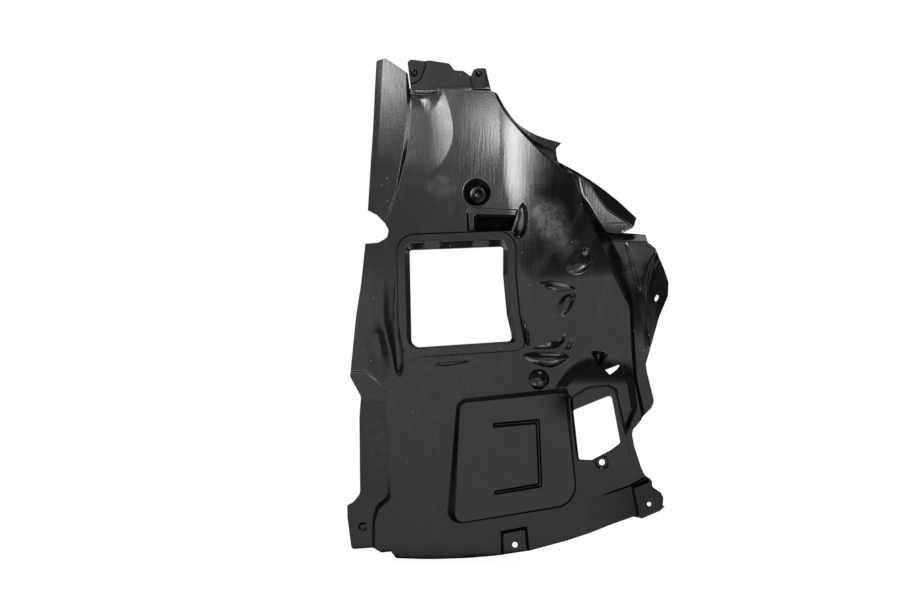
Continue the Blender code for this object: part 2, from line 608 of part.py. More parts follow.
def window_rim():
    """The window's corners at the top of its return wall."""
    right_hand_runs = [-WINDOW_RETURN_RUN_SIDE] * (len(WINDOW) - 3)
    runs = [-WINDOW_RETURN_RUN_TOP] + right_hand_runs + [-WINDOW_RETURN_RUN_FOOT, -WINDOW_RETURN_RUN_SIDE]
    return inset(WINDOW, runs)


def window():
    """The raised frame of the large window, the return wall inside it and the two lugs on its upper wall."""
    rim = window_rim()
    frame_top = inset(rim, -FRAME_WIDTH + FRAME_WALL)
    frame_foot = inset(rim, -FRAME_WIDTH)
    foot_z = min(corner[1] for corner in WINDOW)
    top_z = max(corner[1] for corner in WINDOW)
    drop = graded((foot_z, top_z), (WINDOW_RETURN_DEPTH_FOOT, WINDOW_RETURN_DEPTH_TOP))
    frame = Pressing(arc_loop(frame_foot), arc_loop(frame_top), moved_by(-FRAME_RISE), ramp)
    wall = Pressing(arc_loop(rim), arc_loop(WINDOW), drop, ramp)
    lugs = []
    for left in (LUG_LEFT_X - LUG_WIDTH / 2.0, LUG_RIGHT_X - LUG_WIDTH / 2.0):
        right = left + LUG_WIDTH
        upper = top_z + LUG_ABOVE_EDGE
        lower = top_z - LUG_BELOW_EDGE
        lug = [(left, upper, 1), (right, upper, 1), (right, lower, 0), (left, lower, 0)]
        lugs.append(Pressing(arc_loop(lug), arc_loop(inset(lug, DRAWN_WALL)), level_at(LUG_DEPTH), ramp))
    return [frame, wall] + lugs


def right_side():
    """The lip along the upper right edge, the side wall, its folds and the wing."""
    def lip_level(x, z, depth):
        return depth + LIP_DEPTH + LIP_SLOPE * x

    def wing_level(x, z, depth):
        return WING_LEVEL_AT_ORIGIN + WING_SLOPE * x

    def side_level(x, z, depth):
        heights, depths = zip(*SIDE_LEVELS)
        return np.interp(z, heights, depths)

    lip = Pressing(arc_loop(LIP_FOOT), arc_loop(LIP), lip_level, ramp)
    wall = Pressing(arc_loop(BODY_EDGE), arc_loop(SIDE_FOOT), side_level, ramp)
    fold = Pressing(arc_loop(SIDE_FOLD), arc_loop(SIDE_FOLD_END), moved_by(SIDE_FOLD_DEPTH), soft)
    top = [(x, z + SIDE_TOP_FOLD_RUN, radius) for x, z, radius in SIDE_TOP_FOLD]
    top_fold = Pressing(arc_loop(SIDE_TOP_FOLD), arc_loop(top), moved_by(SIDE_TOP_FOLD_DEPTH), ramp)
    wing = Pressing(arc_loop(WING), arc_loop(inset(WING, DRAWN_WALL)), wing_level, ramp)
    return [wall, lip, top_fold, fold, wing]


def left_side():
    """The stepped left flange, with its groove, pillow and chin."""
    step_drop = graded((LEFT_STEP_FOOT_Z, LEFT_STEP_TOP_Z), (LEFT_STEP_DEPTH, 0.0))
    step = Pressing(arc_loop(LEFT_STEP), arc_loop(LEFT_STEP_FLOOR), step_drop, ramp)
    groove_rim = smooth_loop(GROOVE)
    groove_floor = shrunk(groove_rim, GROOVE_FLOOR_SHARE, GROOVE_FLOOR_SHIFT)
    groove = Pressing(groove_rim, groove_floor, moved_by(GROOVE_DEPTH), soft)
    pillow_rim = smooth_loop(PILLOW)
    pillow = Pressing(pillow_rim, shrunk(pillow_rim, PILLOW_TOP_SHARE), moved_by(-PILLOW_RISE), soft)
    chin_drop = graded((CHIN[4][1], CHIN[1][1]), (0.0, CHIN_DEPTH))
    chin = Pressing(arc_loop(CHIN), arc_loop(inset(CHIN, CHIN_WALL)), chin_drop, ramp)
    return [step, groove, pillow, chin]


def service_panel():
    """The recess of the service panel and the channel pressed in its floor."""
    def tilted(x, z, depth):
        return depth + SERVICE_DEPTH + SERVICE_TILT_X * x + SERVICE_TILT_Z * (z - SERVICE_CENTRE_Z)

    panel = Pressing(arc_loop(SERVICE), arc_loop(SERVICE_FLOOR), tilted, ramp)
    channel_floor = arc_loop(inset(CHANNEL, CHANNEL_WALL))
    channel = Pressing(arc_loop(CHANNEL), channel_floor, moved_by(CHANNEL_DEPTH), ramp)
    return [panel, channel]


def small_window():
    """The hood over the small window, the pocket round it, and the screw seat and ledge below it."""
    def pocket_level(x, z, depth):
        return np.interp(z, (POCKET_FOOT_Z, POCKET_TOP_Z), (0.0, POCKET_DEPTH_TOP))

    def ledge_level(x, z, depth):
        return depth + np.interp(x, (LEDGE[0][0], LEDGE[2][0]), (0.0, LEDGE_DEPTH))

    hood_rise = graded((HOOD_LIP_Z, HOOD_CREST_Z), (-HOOD_RISE, -HOOD_TOP_RISE))
    hood = Pressing(arc_loop(HOOD), arc_loop(HOOD_TOP), hood_rise, ramp)
    pocket = Pressing(arc_loop(POCKET), arc_loop(inset(POCKET, POCKET_WALL)), pocket_level, ramp)
    screw_seat = dimple(SCREW_HOLE, (SCREW_SEAT_RADIUS,) * 2, SCREW_SEAT_DEPTH, 0.7)
    ledge = Pressing(arc_loop(LEDGE), arc_loop(inset(LEDGE, LEDGE_WALL)), ledge_level, ramp)
    return [hood, pocket, screw_seat, ledge]


def foot_tabs():
    """The raised tab at the lower right and the sunk tab in the middle of the foot."""
    right_top = arc_loop(inset(RIGHT_TAB_BOX, RIGHT_TAB_WALL))
    centre_floor = arc_loop(inset(CENTRE_TAB, CENTRE_TAB_WALL))
    right = Pressing(arc_loop(RIGHT_TAB_BOX), right_top, level_at(-RIGHT_TAB_RISE), ramp)
    centre = Pressing(arc_loop(CENTRE_TAB), centre_floor, moved_by(CENTRE_TAB_DEPTH), ramp)
    return [right, centre]


def scoops():
    """The scoops and dimples that stiffen the flat of the body."""
    pressings = []
    for points, depth, scale, shift in SCOOPS:
        rim = smooth_loop(points)
        pressings.append(Pressing(rim, shrunk(rim, scale, shift), moved_by(depth), ramp))
    for centre, radii, depth, shift in DIMPLES:
        pressings.append(dimple(centre, radii, depth, BOWL_FLOOR_SHARE, shift, dome, 1))
    notch_valley = arc_loop(NOTCH_VALLEY)
    pressings.append(Pressing(arc_loop(NOTCH_DIMPLE), notch_valley, moved_by(NOTCH_DIMPLE_DEPTH), ramp))
    return pressings


def all_pressings():
    """Every pressing, in the order in which each one builds on those before it."""
    return (
        head() + blade() + right_side() + left_side() + window() + cup() + duct() + scoops()
        + service_panel() + small_window() + foot_tabs() + fixing_dimples()
    )


def pressed_depth(points, pressings):
    """Depth of the finished sheet at each point (x, z)."""
    depth = body_level(points)
    for pressing in pressings:
        inside = contains(pressing.rim, points)
        if not inside.any():
            continue
        picked = points[inside]
        to_rim = distance_to(pressing.rim, picked)
        to_floor = np.where(contains(pressing.floor, picked), 0.0, distance_to(pressing.floor, picked))
        blend = pressing.profile(to_rim / np.maximum(to_rim + to_floor, 1e-9))
        target = pressing.level(picked[:, 0], picked[:, 1], depth[inside])
        depth[inside] += blend * (target - depth[inside])
    return depth


def slot_loop():
    """The slotted hole of the right-hand flange."""
    upper = SLOT_TILT + np.linspace(-0.5 * math.pi, 0.5 * math.pi, 5)
    reach = SLOT_HALF_LENGTH - SLOT_RADIUS
    offset = reach * np.array((math.cos(SLOT_TILT), math.sin(SLOT_TILT)))
    half = offset + SLOT_RADIUS * np.column_stack((np.cos(upper), np.sin(upper)))
    return np.array(SLOT_CENTRE) + np.vstack((half, -half))


def trim_loops():
    """The outline, and every opening that is cut through the sheet."""
    holes = [
        arc_loop(WINDOW),
        arc_loop(SMALL_WINDOW),
        arc_loop(SLIVER),
        oval(CENTRE_TAB_HOLE, CENTRE_TAB_HOLE_RADIUS, CENTRE_TAB_HOLE_RADIUS),
        oval(RIGHT_TAB_HOLE, RIGHT_TAB_HOLE_RADIUS, RIGHT_TAB_HOLE_RADIUS, 8),
        oval(SCREW_HOLE, SCREW_HOLE_RADIUS, SCREW_HOLE_RADIUS),
        slot_loop(),
    ]
    return arc_loop(OUTLINE), holes


def divided(loop, closed=True):
    """A loop with points added along its long stretches, closer together where the sheet is curved."""
    points = []
    ends = np.roll(loop, -1, axis=0)
    last = len(loop) if closed else len(loop) - 1
    for start, end in zip(loop[:last], ends[:last]):
        curved = max(start[1], end[1]) > CURVED_FROM_Z
        pieces = max(1, math.ceil(np.linalg.norm(end - start) / (CURVED_STEP if curved else FLAT_STEP)))
        points.extend(start + (end - start) * step / pieces for step in range(pieces))
    if not closed:
        points.append(loop[-1])
    return np.array(points)


def mesh_lines(pressings, outline, holes):
    """The lines that the edges of the facets follow: trim, rims, floors, flange, ridge and bend."""
    lines = [(divided(loop), True) for loop in [outline] + holes]
    low = outline.min(axis=0) - LINE_MARGIN
    high = outline.max(axis=0) + LINE_MARGIN
    for pressing in pressings:
        loops = [pressing.rim, pressing.floor]
        for ring in range(pressing.rings):
            share = (ring + 1) / (pressing.rings + 1)
            loops.append(pressing.rim + (pressing.floor - pressing.rim) * share)
        lines.extend((np.clip(divided(loop), low, high), True) for loop in loops)
    flange = ((FLANGE_LEFT_X, FLANGE_START_Z), (FLANGE_RIGHT_X, FLANGE_START_Z))
    ridge = [(x, min(z, high[1])) for z, x in RIDGE]
    for bent in (flange, ridge, BEND):
        lines.append((divided(np.array(bent, dtype=float), closed=False), False))
    return lines


def grid_points(lines, outline, holes):
    """Points between the lines, on a triangular grid that is closer where the sheet is curved."""
    low = outline.min(axis=0)
    high = outline.max(axis=0)
    chosen = []
    for step, from_z, to_z in ((CURVED_STEP, CURVED_FROM_Z, high[1]), (FLAT_STEP, low[1], CURVED_FROM_Z)):
        rows = np.arange(from_z, to_z, step * math.sqrt(0.75))
        for number, row in enumerate(rows):
            columns = np.arange(low[0] + 0.5 * step * (number % 2), high[0], step)
            chosen.append(np.column_stack((columns, np.full(len(columns), row), np.full(len(columns), step))))
    chosen = np.vstack(chosen)
    points = chosen[:, :2]
    clear = contains(outline, points)
    for hole in holes:
        clear &= ~contains(hole, points)
    for line, closed in lines:
        clear &= distance_to(line, points, closed) > GRID_CLEARANCE * chosen[:, 2]
    return points[clear]


def triangulated(pressings, outline, holes):
    """The sheet's points (x, z) and the triangles between them, with every line kept as edges."""
    lines = mesh_lines(pressings, outline, holes)
    points = []
    edges = []
    for line, closed in lines:
        first = len(points)
        points.extend(line)
        edges.extend((first + index, first + index + 1) for index in range(len(line) - 1))
        if closed:
            edges.append((first + len(line) - 1, first))
    points.extend(grid_points(lines, outline, holes))
    flat = [Vector((float(x), float(z))) for x, z in points]
    result = delaunay_2d_cdt(flat, edges, [], 0, MERGE_DISTANCE, False)
    found = np.array([tuple(point) for point in result[0]])
    triangles = np.array(result[2])
    middles = found[triangles].mean(axis=1)
    kept = contains(outline, middles)
    for hole in holes:
        kept &= ~contains(hole, middles)
    triangles = triangles[kept]
    used, renumbered = np.unique(triangles, return_inverse=True)
    return found[used], renumbered.reshape(-1, 3)


def boundary_edges(triangles):
    """The directed edges that only one triangle has."""
    directed = {(int(a), int(b)) for tri in triangles for a, b in zip(tri, np.roll(tri, -1))}
    return [edge for edge in directed if (edge[1], edge[0]) not in directed]


def back_depth(points, depth, pressings):
    """Depth of the back face: the sheet is thinner where it is drawn over steep walls, as such sheets are."""
    slopes = []
    for step in (np.array((SLOPE_REACH, 0.0)), np.array((0.0, SLOPE_REACH))):
        ahead = pressed_depth(points + step, pressings)
        behind = pressed_depth(points - step, pressings)
        slopes.append((ahead - behind) / (2.0 * SLOPE_REACH))
    steepness = 1.0 + slopes[0] ** 2 + slopes[1] ** 2
    return depth + SHEET_THICKNESS * steepness**THINNING


def make_liner():
    """The finished sheet as one closed mesh object, with its origin at the centre of its box."""
    pressings = all_pressings()
    outline, holes = trim_loops()
    points, triangles = triangulated(pressings, outline, holes)
    depth = pressed_depth(points, pressings)
    back = back_depth(points, depth, pressings)
    front_corners = np.column_stack((points[:, 0], depth, points[:, 1]))
    back_corners = np.column_stack((points[:, 0], back, points[:, 1]))
    corners = np.vstack((front_corners, back_corners))
    corners = (corners - (corners.min(axis=0) + corners.max(axis=0)) / 2.0) * MM
    count = len(points)
    sheet = bmesh.new()
    verts = [sheet.verts.new(corner) for corner in corners]
    for a, b, c in triangles:
        sheet.faces.new((verts[a], verts[b], verts[c]))
        sheet.faces.new((verts[c + count], verts[b + count], verts[a + count]))
    for a, b in boundary_edges(triangles):
        sheet.faces.new((verts[b], verts[a], verts[a + count], verts[b + count]))
    bmesh.ops.triangulate(sheet, faces=[face for face in sheet.faces if len(face.verts) > 3])
    mesh = bpy.data.meshes.new("arch_liner")
    sheet.to_mesh(mesh)
    sheet.free()
    liner = bpy.data.objects.new("arch_liner", mesh)
    bpy.context.scene.collection.objects.link(liner)
    return liner


def black_plastic():
    """Glossy black thermoformed plastic."""
    material = bpy.data.materials.new("black_plastic")
    material.use_nodes = True
    shader = material.node_tree.nodes["Principled BSDF"]
    shader.inputs["Base Color"].default_value = PLASTIC_COLOUR
    shader.inputs["Roughness"].default_value = PLASTIC_ROUGHNESS
    shader.inputs["Metallic"].default_value = 0.0
    return material


def main():
    for obj in list(bpy.data.objects):
        bpy.data.objects.remove(obj)
    liner = make_liner()
    liner.data.materials.append(black_plastic())


main()
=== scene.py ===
"""Looks of the wheel arch liner: the finely pressed sheet, its black plastic, the studio and the camera."""

import math
from collections import namedtuple

import bpy
import numpy as np
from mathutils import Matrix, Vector
from mathutils.geometry import delaunay_2d_cdt
from mathutils.kdtree import KDTree


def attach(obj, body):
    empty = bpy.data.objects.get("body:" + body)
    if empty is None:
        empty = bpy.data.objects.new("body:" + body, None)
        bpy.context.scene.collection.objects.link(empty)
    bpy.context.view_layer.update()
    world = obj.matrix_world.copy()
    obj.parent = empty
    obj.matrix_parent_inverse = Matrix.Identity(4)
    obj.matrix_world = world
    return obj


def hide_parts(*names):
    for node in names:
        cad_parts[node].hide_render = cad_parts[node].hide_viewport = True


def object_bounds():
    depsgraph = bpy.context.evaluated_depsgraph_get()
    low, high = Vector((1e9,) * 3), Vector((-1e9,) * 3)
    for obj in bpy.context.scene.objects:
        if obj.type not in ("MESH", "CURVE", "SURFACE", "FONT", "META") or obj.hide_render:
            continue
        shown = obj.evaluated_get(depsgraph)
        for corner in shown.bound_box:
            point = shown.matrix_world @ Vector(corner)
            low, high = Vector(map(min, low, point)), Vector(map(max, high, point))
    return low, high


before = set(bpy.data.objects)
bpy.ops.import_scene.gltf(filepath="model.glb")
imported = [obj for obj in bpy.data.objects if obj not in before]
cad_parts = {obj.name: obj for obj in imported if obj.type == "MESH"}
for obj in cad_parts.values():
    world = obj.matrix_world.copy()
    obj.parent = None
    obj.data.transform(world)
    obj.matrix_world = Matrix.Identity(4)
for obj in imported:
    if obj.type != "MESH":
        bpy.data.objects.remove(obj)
CAD_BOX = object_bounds()

MM = 0.001

# The sketches below are the part's own, in millimetres on the X-Z plane of the photograph. A positive depth
# lies away from the wheel. Their zero is this far from the centre of the part's box.
SKETCH_CENTRE = (0.46, -51.46, -3.45)

# A name that ends in _SPAN holds the two heights between which something grows or fades, and one that ends in
# _DEPTHS holds two heights and the depths there. A name that ends in _LEVEL holds what sloping() takes.

# Sheet and arch
SHEET_THICKNESS = 2.2
ARCH_RADIUS = 450
ARCH_START_Z = 40
ARCH_SHARE = 0.98
FLANGE_START_Z = 326
FLANGE_ENDS_X = (-146, -26)
ROLL_RADIUS = 200
ROLL_WIDTH = 84
ROLL_FIRST_SLOPE = 0.08
ROLL_FIRST_RUN = 6
FOOT_SLOPE = 0.14
FOOT_RUN = 13
FOOT_SPAN = (150, 100)
HOLLOW_SLOPE = 0.2
HOLLOW_RUN = 12
HOLLOW_BLEND = 6
SHOULDER_SLOPE = 0.14
SHOULDER_SPAN = (190, 300)

# Blade, the raised strip up the left edge, and the fold along its free side
BLADE_STEP_DEPTHS = ((135, 350), (4, 12))
BLADE_FOLD_DEPTHS = ((170, 255), (0, 5))
BLADE_FOLD_WIDTH = 16

# Head of the body, with its crowned pad, valley and fixing tabs
CROWN_RISE = 7.5
CROWN_POWER = 1.8
CROWN_FOOT_SPAN = (175, 295)
CROWN_TOP_SPAN = (340, 295)
VALLEY_DEPTH = 2
TAB_SEAT_DEPTH = 3
TAB_RISE = 3
DRAWN_WALL = 2

# Deep cup with a screw seat in its floor
CUP_CENTRE = (-47, 174.5)
CUP_SEAT = (-45, 170.5)
CUP_RADIUS = 21.5
CUP_FLOOR_RADIUS = 11
CUP_DEPTH = 22
CUP_BOWL = 0.02

# Duct pocket
DUCT_FRAME_DEPTH = 6
DUCT_LEVEL = (1, 3, 0, 1.1, 117.5)

# Large window: the runs and depths of its return wall, and its frame
WINDOW_RETURN_RUNS = (12, 7.5, 7.5, 7.5, 7.5, 3, 7.5)
WINDOW_RETURN_DEPTHS = ((-58.5, 93), (3, 14))
FRAME_RISE = 2.5
FRAME_WIDTH = 13
FRAME_WALL = 2.2
LUG_LEVEL = (0, 1)

# Service panel, a recess under the window with a channel pressed in its floor
SERVICE_LEVEL = (1, 10, -0.045, 0.03, -220)
SERVICE_CORNER_REACH = 60
SERVICE_CORNER_DROP = 6
CHANNEL_DEPTH = 4
CHANNEL_WALL = 3.9

# Small window, its hood and the ledge below it
HOOD_RISE = 9
HOOD_TOP_RISE = 1.5
HOOD_SPAN = (-70, -120)
POCKET_DEPTHS = ((-232, -118), (0, 10))
POCKET_WALL = 5
LEDGE_DEPTH = 9
LEDGE_WALL = 3.5

# Side wall to the right of the body, its flanges and the wing above it
WING_LEVEL = (0, -27, 0.3)
LIP_LEVEL = (1, 10, 0.15)
SIDE_SMOOTHING = 18
SIDE_TWIST = -0.08
SIDE_TWIST_X = 165
SIDE_TWIST_SPAN = (90, 120)
SIDE_FOLD_DEPTH = 12
SIDE_TOP_FOLD_DEPTH = 10
SIDE_TOP_FOLD_RUN = 14
PLEAT_FLOOR = (0.5, 0.9)

# Left flange with its groove and pillow
LEFT_STEP_DEPTHS = ((-284, -137), (8, 0))
GROOVE_DEPTHS = ((-40, 70), (6, 0))
GROOVE_FLOOR = ((0.2, 0.8), (5, -8))
PILLOW_RISE = 3
PILLOW_TOP = (0.2, 0.3)
CHIN_DEPTHS = ((-139, -92.5), (0, 3))
CHIN_WALL = 4

# Fixing tabs at the foot, and the holes
CENTRE_TAB_DEPTH = 6
CENTRE_TAB_WALL = 5.5
RIGHT_TAB_HOLE = (211.5, -293)
RIGHT_TAB_LEVEL = (0, -6, 0, 0.13, RIGHT_TAB_HOLE[1])
RIGHT_TAB_WALL = 6
SCREW_HOLE = (141, -230.5)
ROUND_HOLES = [((10.5, -354.5), 4.2), (RIGHT_TAB_HOLE, 3.2), (SCREW_HOLE, 4.5)]
SLOT_CENTRE = (224.3, 15.8)
SLOT_HALF_LENGTH = 5
SLOT_RADIUS = 2.4
SLOT_TILT = math.radians(65)

# Small round seats and blind fixing points: centre, radius, depth and the share that is floor
CUP_SEATS = [(CUP_SEAT, 8.5, 0.7, 0.9), (CUP_SEAT, 6.5, 5, 0.7)]
SCREW_SEAT = (SCREW_HOLE, 11, 2, 0.7)
FIXINGS = [((-140, 349), 5.5, 5, 0.6), ((-44, 347.5), 4.5, 5, 0.6), ((-218, -327.5), 7, 2, 0.5)]

# Fineness of the sheet's mesh
ARC_STEP = math.radians(11)
ARC_SHARE = 0.48
LEAST_TURN = 0.02
LEAST_RADIUS = 0.6
LEAST_LENGTH = 1e-9
CURVE_POINTS = 4
OVAL_SIDES = 36
SMOOTHING_STEPS = 13
LINE_STEP = 3.6
GRID_STEP = 4.8
GRID_CLEARANCE = 0.5
WALL_SHARES = (0.1, 0.22, 0.5, 0.78, 0.9)
WIDE_WALL_SHARES = (0.06, 0.13, 0.2, 0.35, 0.5, 0.65, 0.8, 0.87, 0.94)
WIDE_WALL = 9
DOME_SHARES = (0.03, 0.06, 0.09, 0.12, 0.2, 0.3, 0.4, 0.5, 0.6, 0.7, 0.8, 0.9)
EDGE_RADIUS = 0.6
EDGE_LINES = (0.18, 0.6)
MERGE_DISTANCE = 0.03
LINE_MARGIN = 3
SLOPE_REACH = 0.15
GUARD = 0.6
LEAST_GUARDED = 8
THINNING = 0.25
MOST_THICKENED = 2.2
SKETCH_SIDE_X = -300

# Plastic: its share of white and what stains, scuffs with their painted sheen, and dust add, its roughness
# and what streaks, scuffs and worn patches add, and the heights of its grain, streaks and waves in
# millimetres
PLASTIC_IOR = 1.42
PLASTIC_COLOURS = (0.0015, 0.007, 0.06, 0.25)
PLASTIC_ROUGHNESSES = (0.13, 0.08, 0.2, 0.3)
PLASTIC_HEIGHTS = (0, 0.14, 0.18, 0.35)
DUST_SCALE = 48
DUST_SIZE = 0.045

# Its noises: features per metre along X, Y and Z, and how many finer layers each one has
NOISE_ROUGHNESS = 0.62
GRAIN = ((380, 380, 380), 3)
STREAKS = ((330, 60, 9), 4)
STAINS = ((60, 60, 14), 4)
WAVES = ((26, 26, 18), 1)
CLOUDS = ((75, 75, 75), 10)
STAIN_RANGE = (0.45, 0.75)
CLOUD_RANGE = (0.2, 0.82)
PATCH_RANGE = (0, 0.7)

# Worn patches, only less glossy: centre, radii, tilt in degrees to the right of upright, and strength
WORN = [((170, -300), (130, 90), 0, 0.5)]

# Scuffed patches, less glossy and paler, in the same terms. Their paleness is partly scuffing and partly
# painted
# highlight: the strongest, tilted patch right of the ridge is a painted sheen in place of a lamp's reflection
# on a second ridge, and others paint a paler tone onto the flat of the body
SCUFFS_AND_PAINTED_SHEEN = [
    ((70, 118), (30, 72), -36, 1),
    ((62, 140), (36, 34), 0, 0.5),
    ((-100, 184), (36, 24), 0, 0.35),
    ((-18, 128), (48, 16), 0, 0.2),
    ((20, 134), (10, 26), 10, 0.4),
    ((190, 66), (24, 46), 0, 0.7),
    ((-225, -30), (40, 90), 0, 0.25),
    ((-123, -314), (46, 60), 0, 0.2),
    ((-120, -150), (170, 280), 0, 0.3),
    ((212, -40), (24, 80), 0, 0.4),
]

# Trim line of the sheet, clockwise from the top of the blade: x, z and the radius of the corner
OUTLINE = [
    (-195, 365, 4), (-181, 368, 1), (-152, 349, 0), (-149.2, 347.5, 0), (-146.4, 326, 0), (-144.8, 326, 0),
    (-147.8, 349, 0), (-149.5, 365, 3), (-145, 369, 3), (-124, 366.5, 2), (-117, 367.5, 2), (-88, 363, 3),
    (-80.5, 353, 2), (-67, 352, 3), (-56, 344, 0), (-52, 353.5, 3), (-46, 355.8, 2), (-34, 356, 3),
    (-30.5, 341.5, 0), (-26, 323, 1), (-17, 319.5, 2), (-6, 300, 40), (11, 277.5, 60), (29, 265.5, 60),
    (49, 256.7, 80), (80, 248.5, 0), (72, 240, 1.5), (73, 229, 8), (75, 220.5, 4), (112, 201.3, 200),
    (157, 170, 200), (194, 136.5, 3), (189, 122, 3), (174, 114.5, 0), (208, 111.5, 1.5), (211, 100, 4),
    (222.5, 91, 4), (236, 60, 60), (242.5, 40, 10), (241.5, 19, 8), (228, -12, 60), (217, -50, 30),
    (207, -83, 10), (209, -96, 20), (219.5, -138.5, 8), (215.5, -149, 6), (202, -162.5, 3), (199, -168, 3),
    (187.5, -181.5, 6), (186.3, -189, 10), (189.5, -206.5, 40), (200, -239, 60), (205, -249.5, 12),
    (215.5, -257, 0), (216.5, -267, 4), (229.5, -276, 8), (233, -284, 6), (232, -295, 1), (235, -296.5, 0),
    (228, -303, 2), (201, -314.5, 2), (187.5, -312.5, 1), (149.5, -326, 200), (107, -343, 300),
    (31, -363.5, 1), (-13.5, -370.2, 200), (-61, -374.3, 300), (-118, -376, 300), (-168, -374.5, 5),
    (-175.5, -364.5, 1), (-190, -366, 4), (-202, -359, 3), (-235, -361.3, 5), (-241, -315, 60),
    (-241.5, -295.5, 1), (-232.5, -290.5, 10), (-222, -278, 14), (-222.5, -231, 100), (-223, -161, 100),
    (-220.5, -132, 10), (-237, -102, 3), (-234.5, -76, 60), (-228, -11, 100), (-220.5, 37, 60),
    (-214, 97.5, 0),
    (-194.5, 99, 14), (-181, 107, 10), (-179, 118, 8), (-185, 128.5, 12), (-196.5, 140, 12),
    (-210, 147, 0), (-205, 222, 200), (-201.5, 266, 200), (-198, 324, 100),
]
WINDOW = [
    (-147.6, 87.5, 3), (-7.2, 93, 4), (-7.5, 50.5, 40), (-1.8, -10, 8), (4.8, -37, 8), (5.5, -48.5, 9),
    (-144.6, -58.5, 12),
]
LUGS = [
    [(-127.5, 104, 1), (-100.5, 104, 1), (-100.5, 85, 0), (-127.5, 85, 0)],
    [(-54, 104, 1), (-27, 104, 1), (-27, 85, 0), (-54, 85, 0)],
]
SMALL_WINDOW = [
    (98.3, -152.5, 3), (155.3, -129.5, 5), (168.7, -201.5, 5), (154.5, -212, 4), (126, -227, 4),
    (106.5, -226.3, 4),
]
SLIVER = [(145.5, -92, 0.6), (168.5, -83.5, 1), (163.5, -91, 1), (153, -99, 0.6)]

# Blade: where its wall leaves the body, and where it reaches the blade
BLADE_WALL_FOOT = [
    (-148, 420), (-148, 349), (-145.6, 326), (-143.8, 301), (-144.4, 277), (-146.5, 253), (-151.6, 228.5),
    (-163.5, 182.5), (-172, 158), (-181, 134), (-192, 118), (-270, 118), (-270, 420),
]
BLADE_EDGE = [
    (-151.5, 420), (-151.5, 347), (-151, 333), (-151.2, 309), (-152, 285), (-154.5, 261), (-157.5, 236.5),
    (-167, 183), (-174.5, 158), (-184, 134), (-196, 122), (-275, 122), (-275, 420),
]
BLADE_FOLD = [(-181.5, 420), (-182.5, 366), (-186.5, 309), (-191, 256), (-195, 195), (-197, 165)]

# Head of the body
CROWN_RIM = [
    (-95, 325, 6), (-86, 292, 60), (-81, 262, 60), (-88, 235, 60), (-105, 208, 60), (-150, 180, 40),
    (-175, 230, 20), (-162, 319, 5), (-122, 316.5, 30),
]
CROWN_TOP = [
    (-131, 310, 4), (-126, 290, 40), (-120, 265, 40), (-124, 250, 30), (-134, 240, 30), (-165, 235, 20),
    (-172, 250, 10), (-166, 308, 4), (-142, 309, 10),
]
VALLEY = [(-143, 325.8, 0), (-102, 325.8, 0), (-109, 319.5, 8), (-123, 317.5, 20), (-142, 319, 1)]
LEFT_SEAT = [
    (-155, 385, 0), (-120.5, 385, 0), (-122.5, 357, 20), (-130, 338, 14), (-141, 332, 6), (-155, 332, 0),
]
RIGHT_TAB = [(-56.5, 385, 0), (-57, 336, 4), (-53, 324, 1), (-15, 323, 0), (-15, 385, 0)]

# Pockets beside the window
DUCT_FRAME = [(-56, 152.5, 4), (16, 149, 1), (5, 116.5, 1), (-61.5, 116.5, 1), (-63.5, 143, 3)]
DUCT_WALLS = (2, 2.5, 1.5, 4.5, 3)
DUCT_POCKET = [(-52, 142, 6), (11, 140.5, 1), (3, 118, 1), (-52, 118, 1)]
DUCT_POCKET_WALLS = (2, 2, 1.5, 7)
SPOON = [
    (24, 161), (29.5, 151), (30.8, 136), (29.3, 121), (25.5, 109.8), (18, 104.5), (10, 106.5), (6.5, 114),
    (14.5, 135), (16.5, 152),
]
WINDOW_LEAF = [(15, 4), (24, -14), (31.5, -38), (33.5, -56), (25, -51.5), (18.5, -24.5)]
WINDOW_LENS = [(-114, -85.5), (-94.5, -87), (-69, -82), (-49.5, -76.5), (-72, -78), (-102, -81)]

# Right-hand side: the body's convex edge, the foot of the side wall, and the folds beyond it
BODY_EDGE = [
    (97, 204, 0), (106, 174, 60), (121, 131.5, 60), (146, 77.5, 200), (171, 23, 60), (182, 2, 12),
    (184, -45, 60), (186, -75, 60), (188, -105, 60), (199, -155, 20), (200, -185, 0), (300, -185, 0),
    (300, 204, 0),
]
SIDE_FOOT = [
    (108, 202, 0), (121, 163, 60), (136, 137, 60), (155, 108, 60), (176, 66, 60), (188, 16, 20),
    (190.5, -45, 60), (192, -75, 60), (194, -105, 60), (205, -155, 20), (207, -190, 0), (310, -190, 0),
    (310, 202, 0),
]
SIDE_LEVELS = [
    (-190, 3), (-150, 8), (-60, 8), (-20, 12), (5, 20), (70, 34), (110, 36), (136, 30), (163, 20), (200, 6),
]
SIDE_FOLD = [
    (222, 88, 2), (208, 68, 20), (197, 38, 20), (190, 20, 8), (203, -30, 20), (205, -62, 10),
    (300, -62, 0), (300, 88, 0),
]
SIDE_FOLD_END = [
    (240, 90, 2), (228, 62, 20), (220, 38, 20), (212, 12, 8), (213, -30, 20), (215, -66, 10),
    (320, -66, 0), (320, 90, 0),
]
SIDE_TOP_FOLD = [(150, 101, 0), (212, 99, 0), (240, 99, 0), (240, 130, 0), (150, 130, 0)]
WING = [
    (70, 226, 0), (88, 207, 4), (122, 186.5, 6), (136, 164, 20), (150, 147, 20), (191, 120.5, 0),
    (230, 110, 0), (230, 240, 0), (100, 260, 0),
]
LIP_FOOT = [
    (-24, 326, 0), (-18, 311, 30), (-4.5, 288, 60), (12, 270, 80), (30, 251, 80), (52, 230, 80),
    (71, 213.5, 60), (92, 203, 0), (160, 260, 0), (60, 340, 0),
]
LIP = [
    (-18, 322, 0), (-13, 312, 30), (3, 285, 60), (20, 266.5, 80), (41, 250, 60), (68, 239.5, 20),
    (78, 226, 6), (99, 212, 0), (175, 262, 0), (60, 350, 0),
]


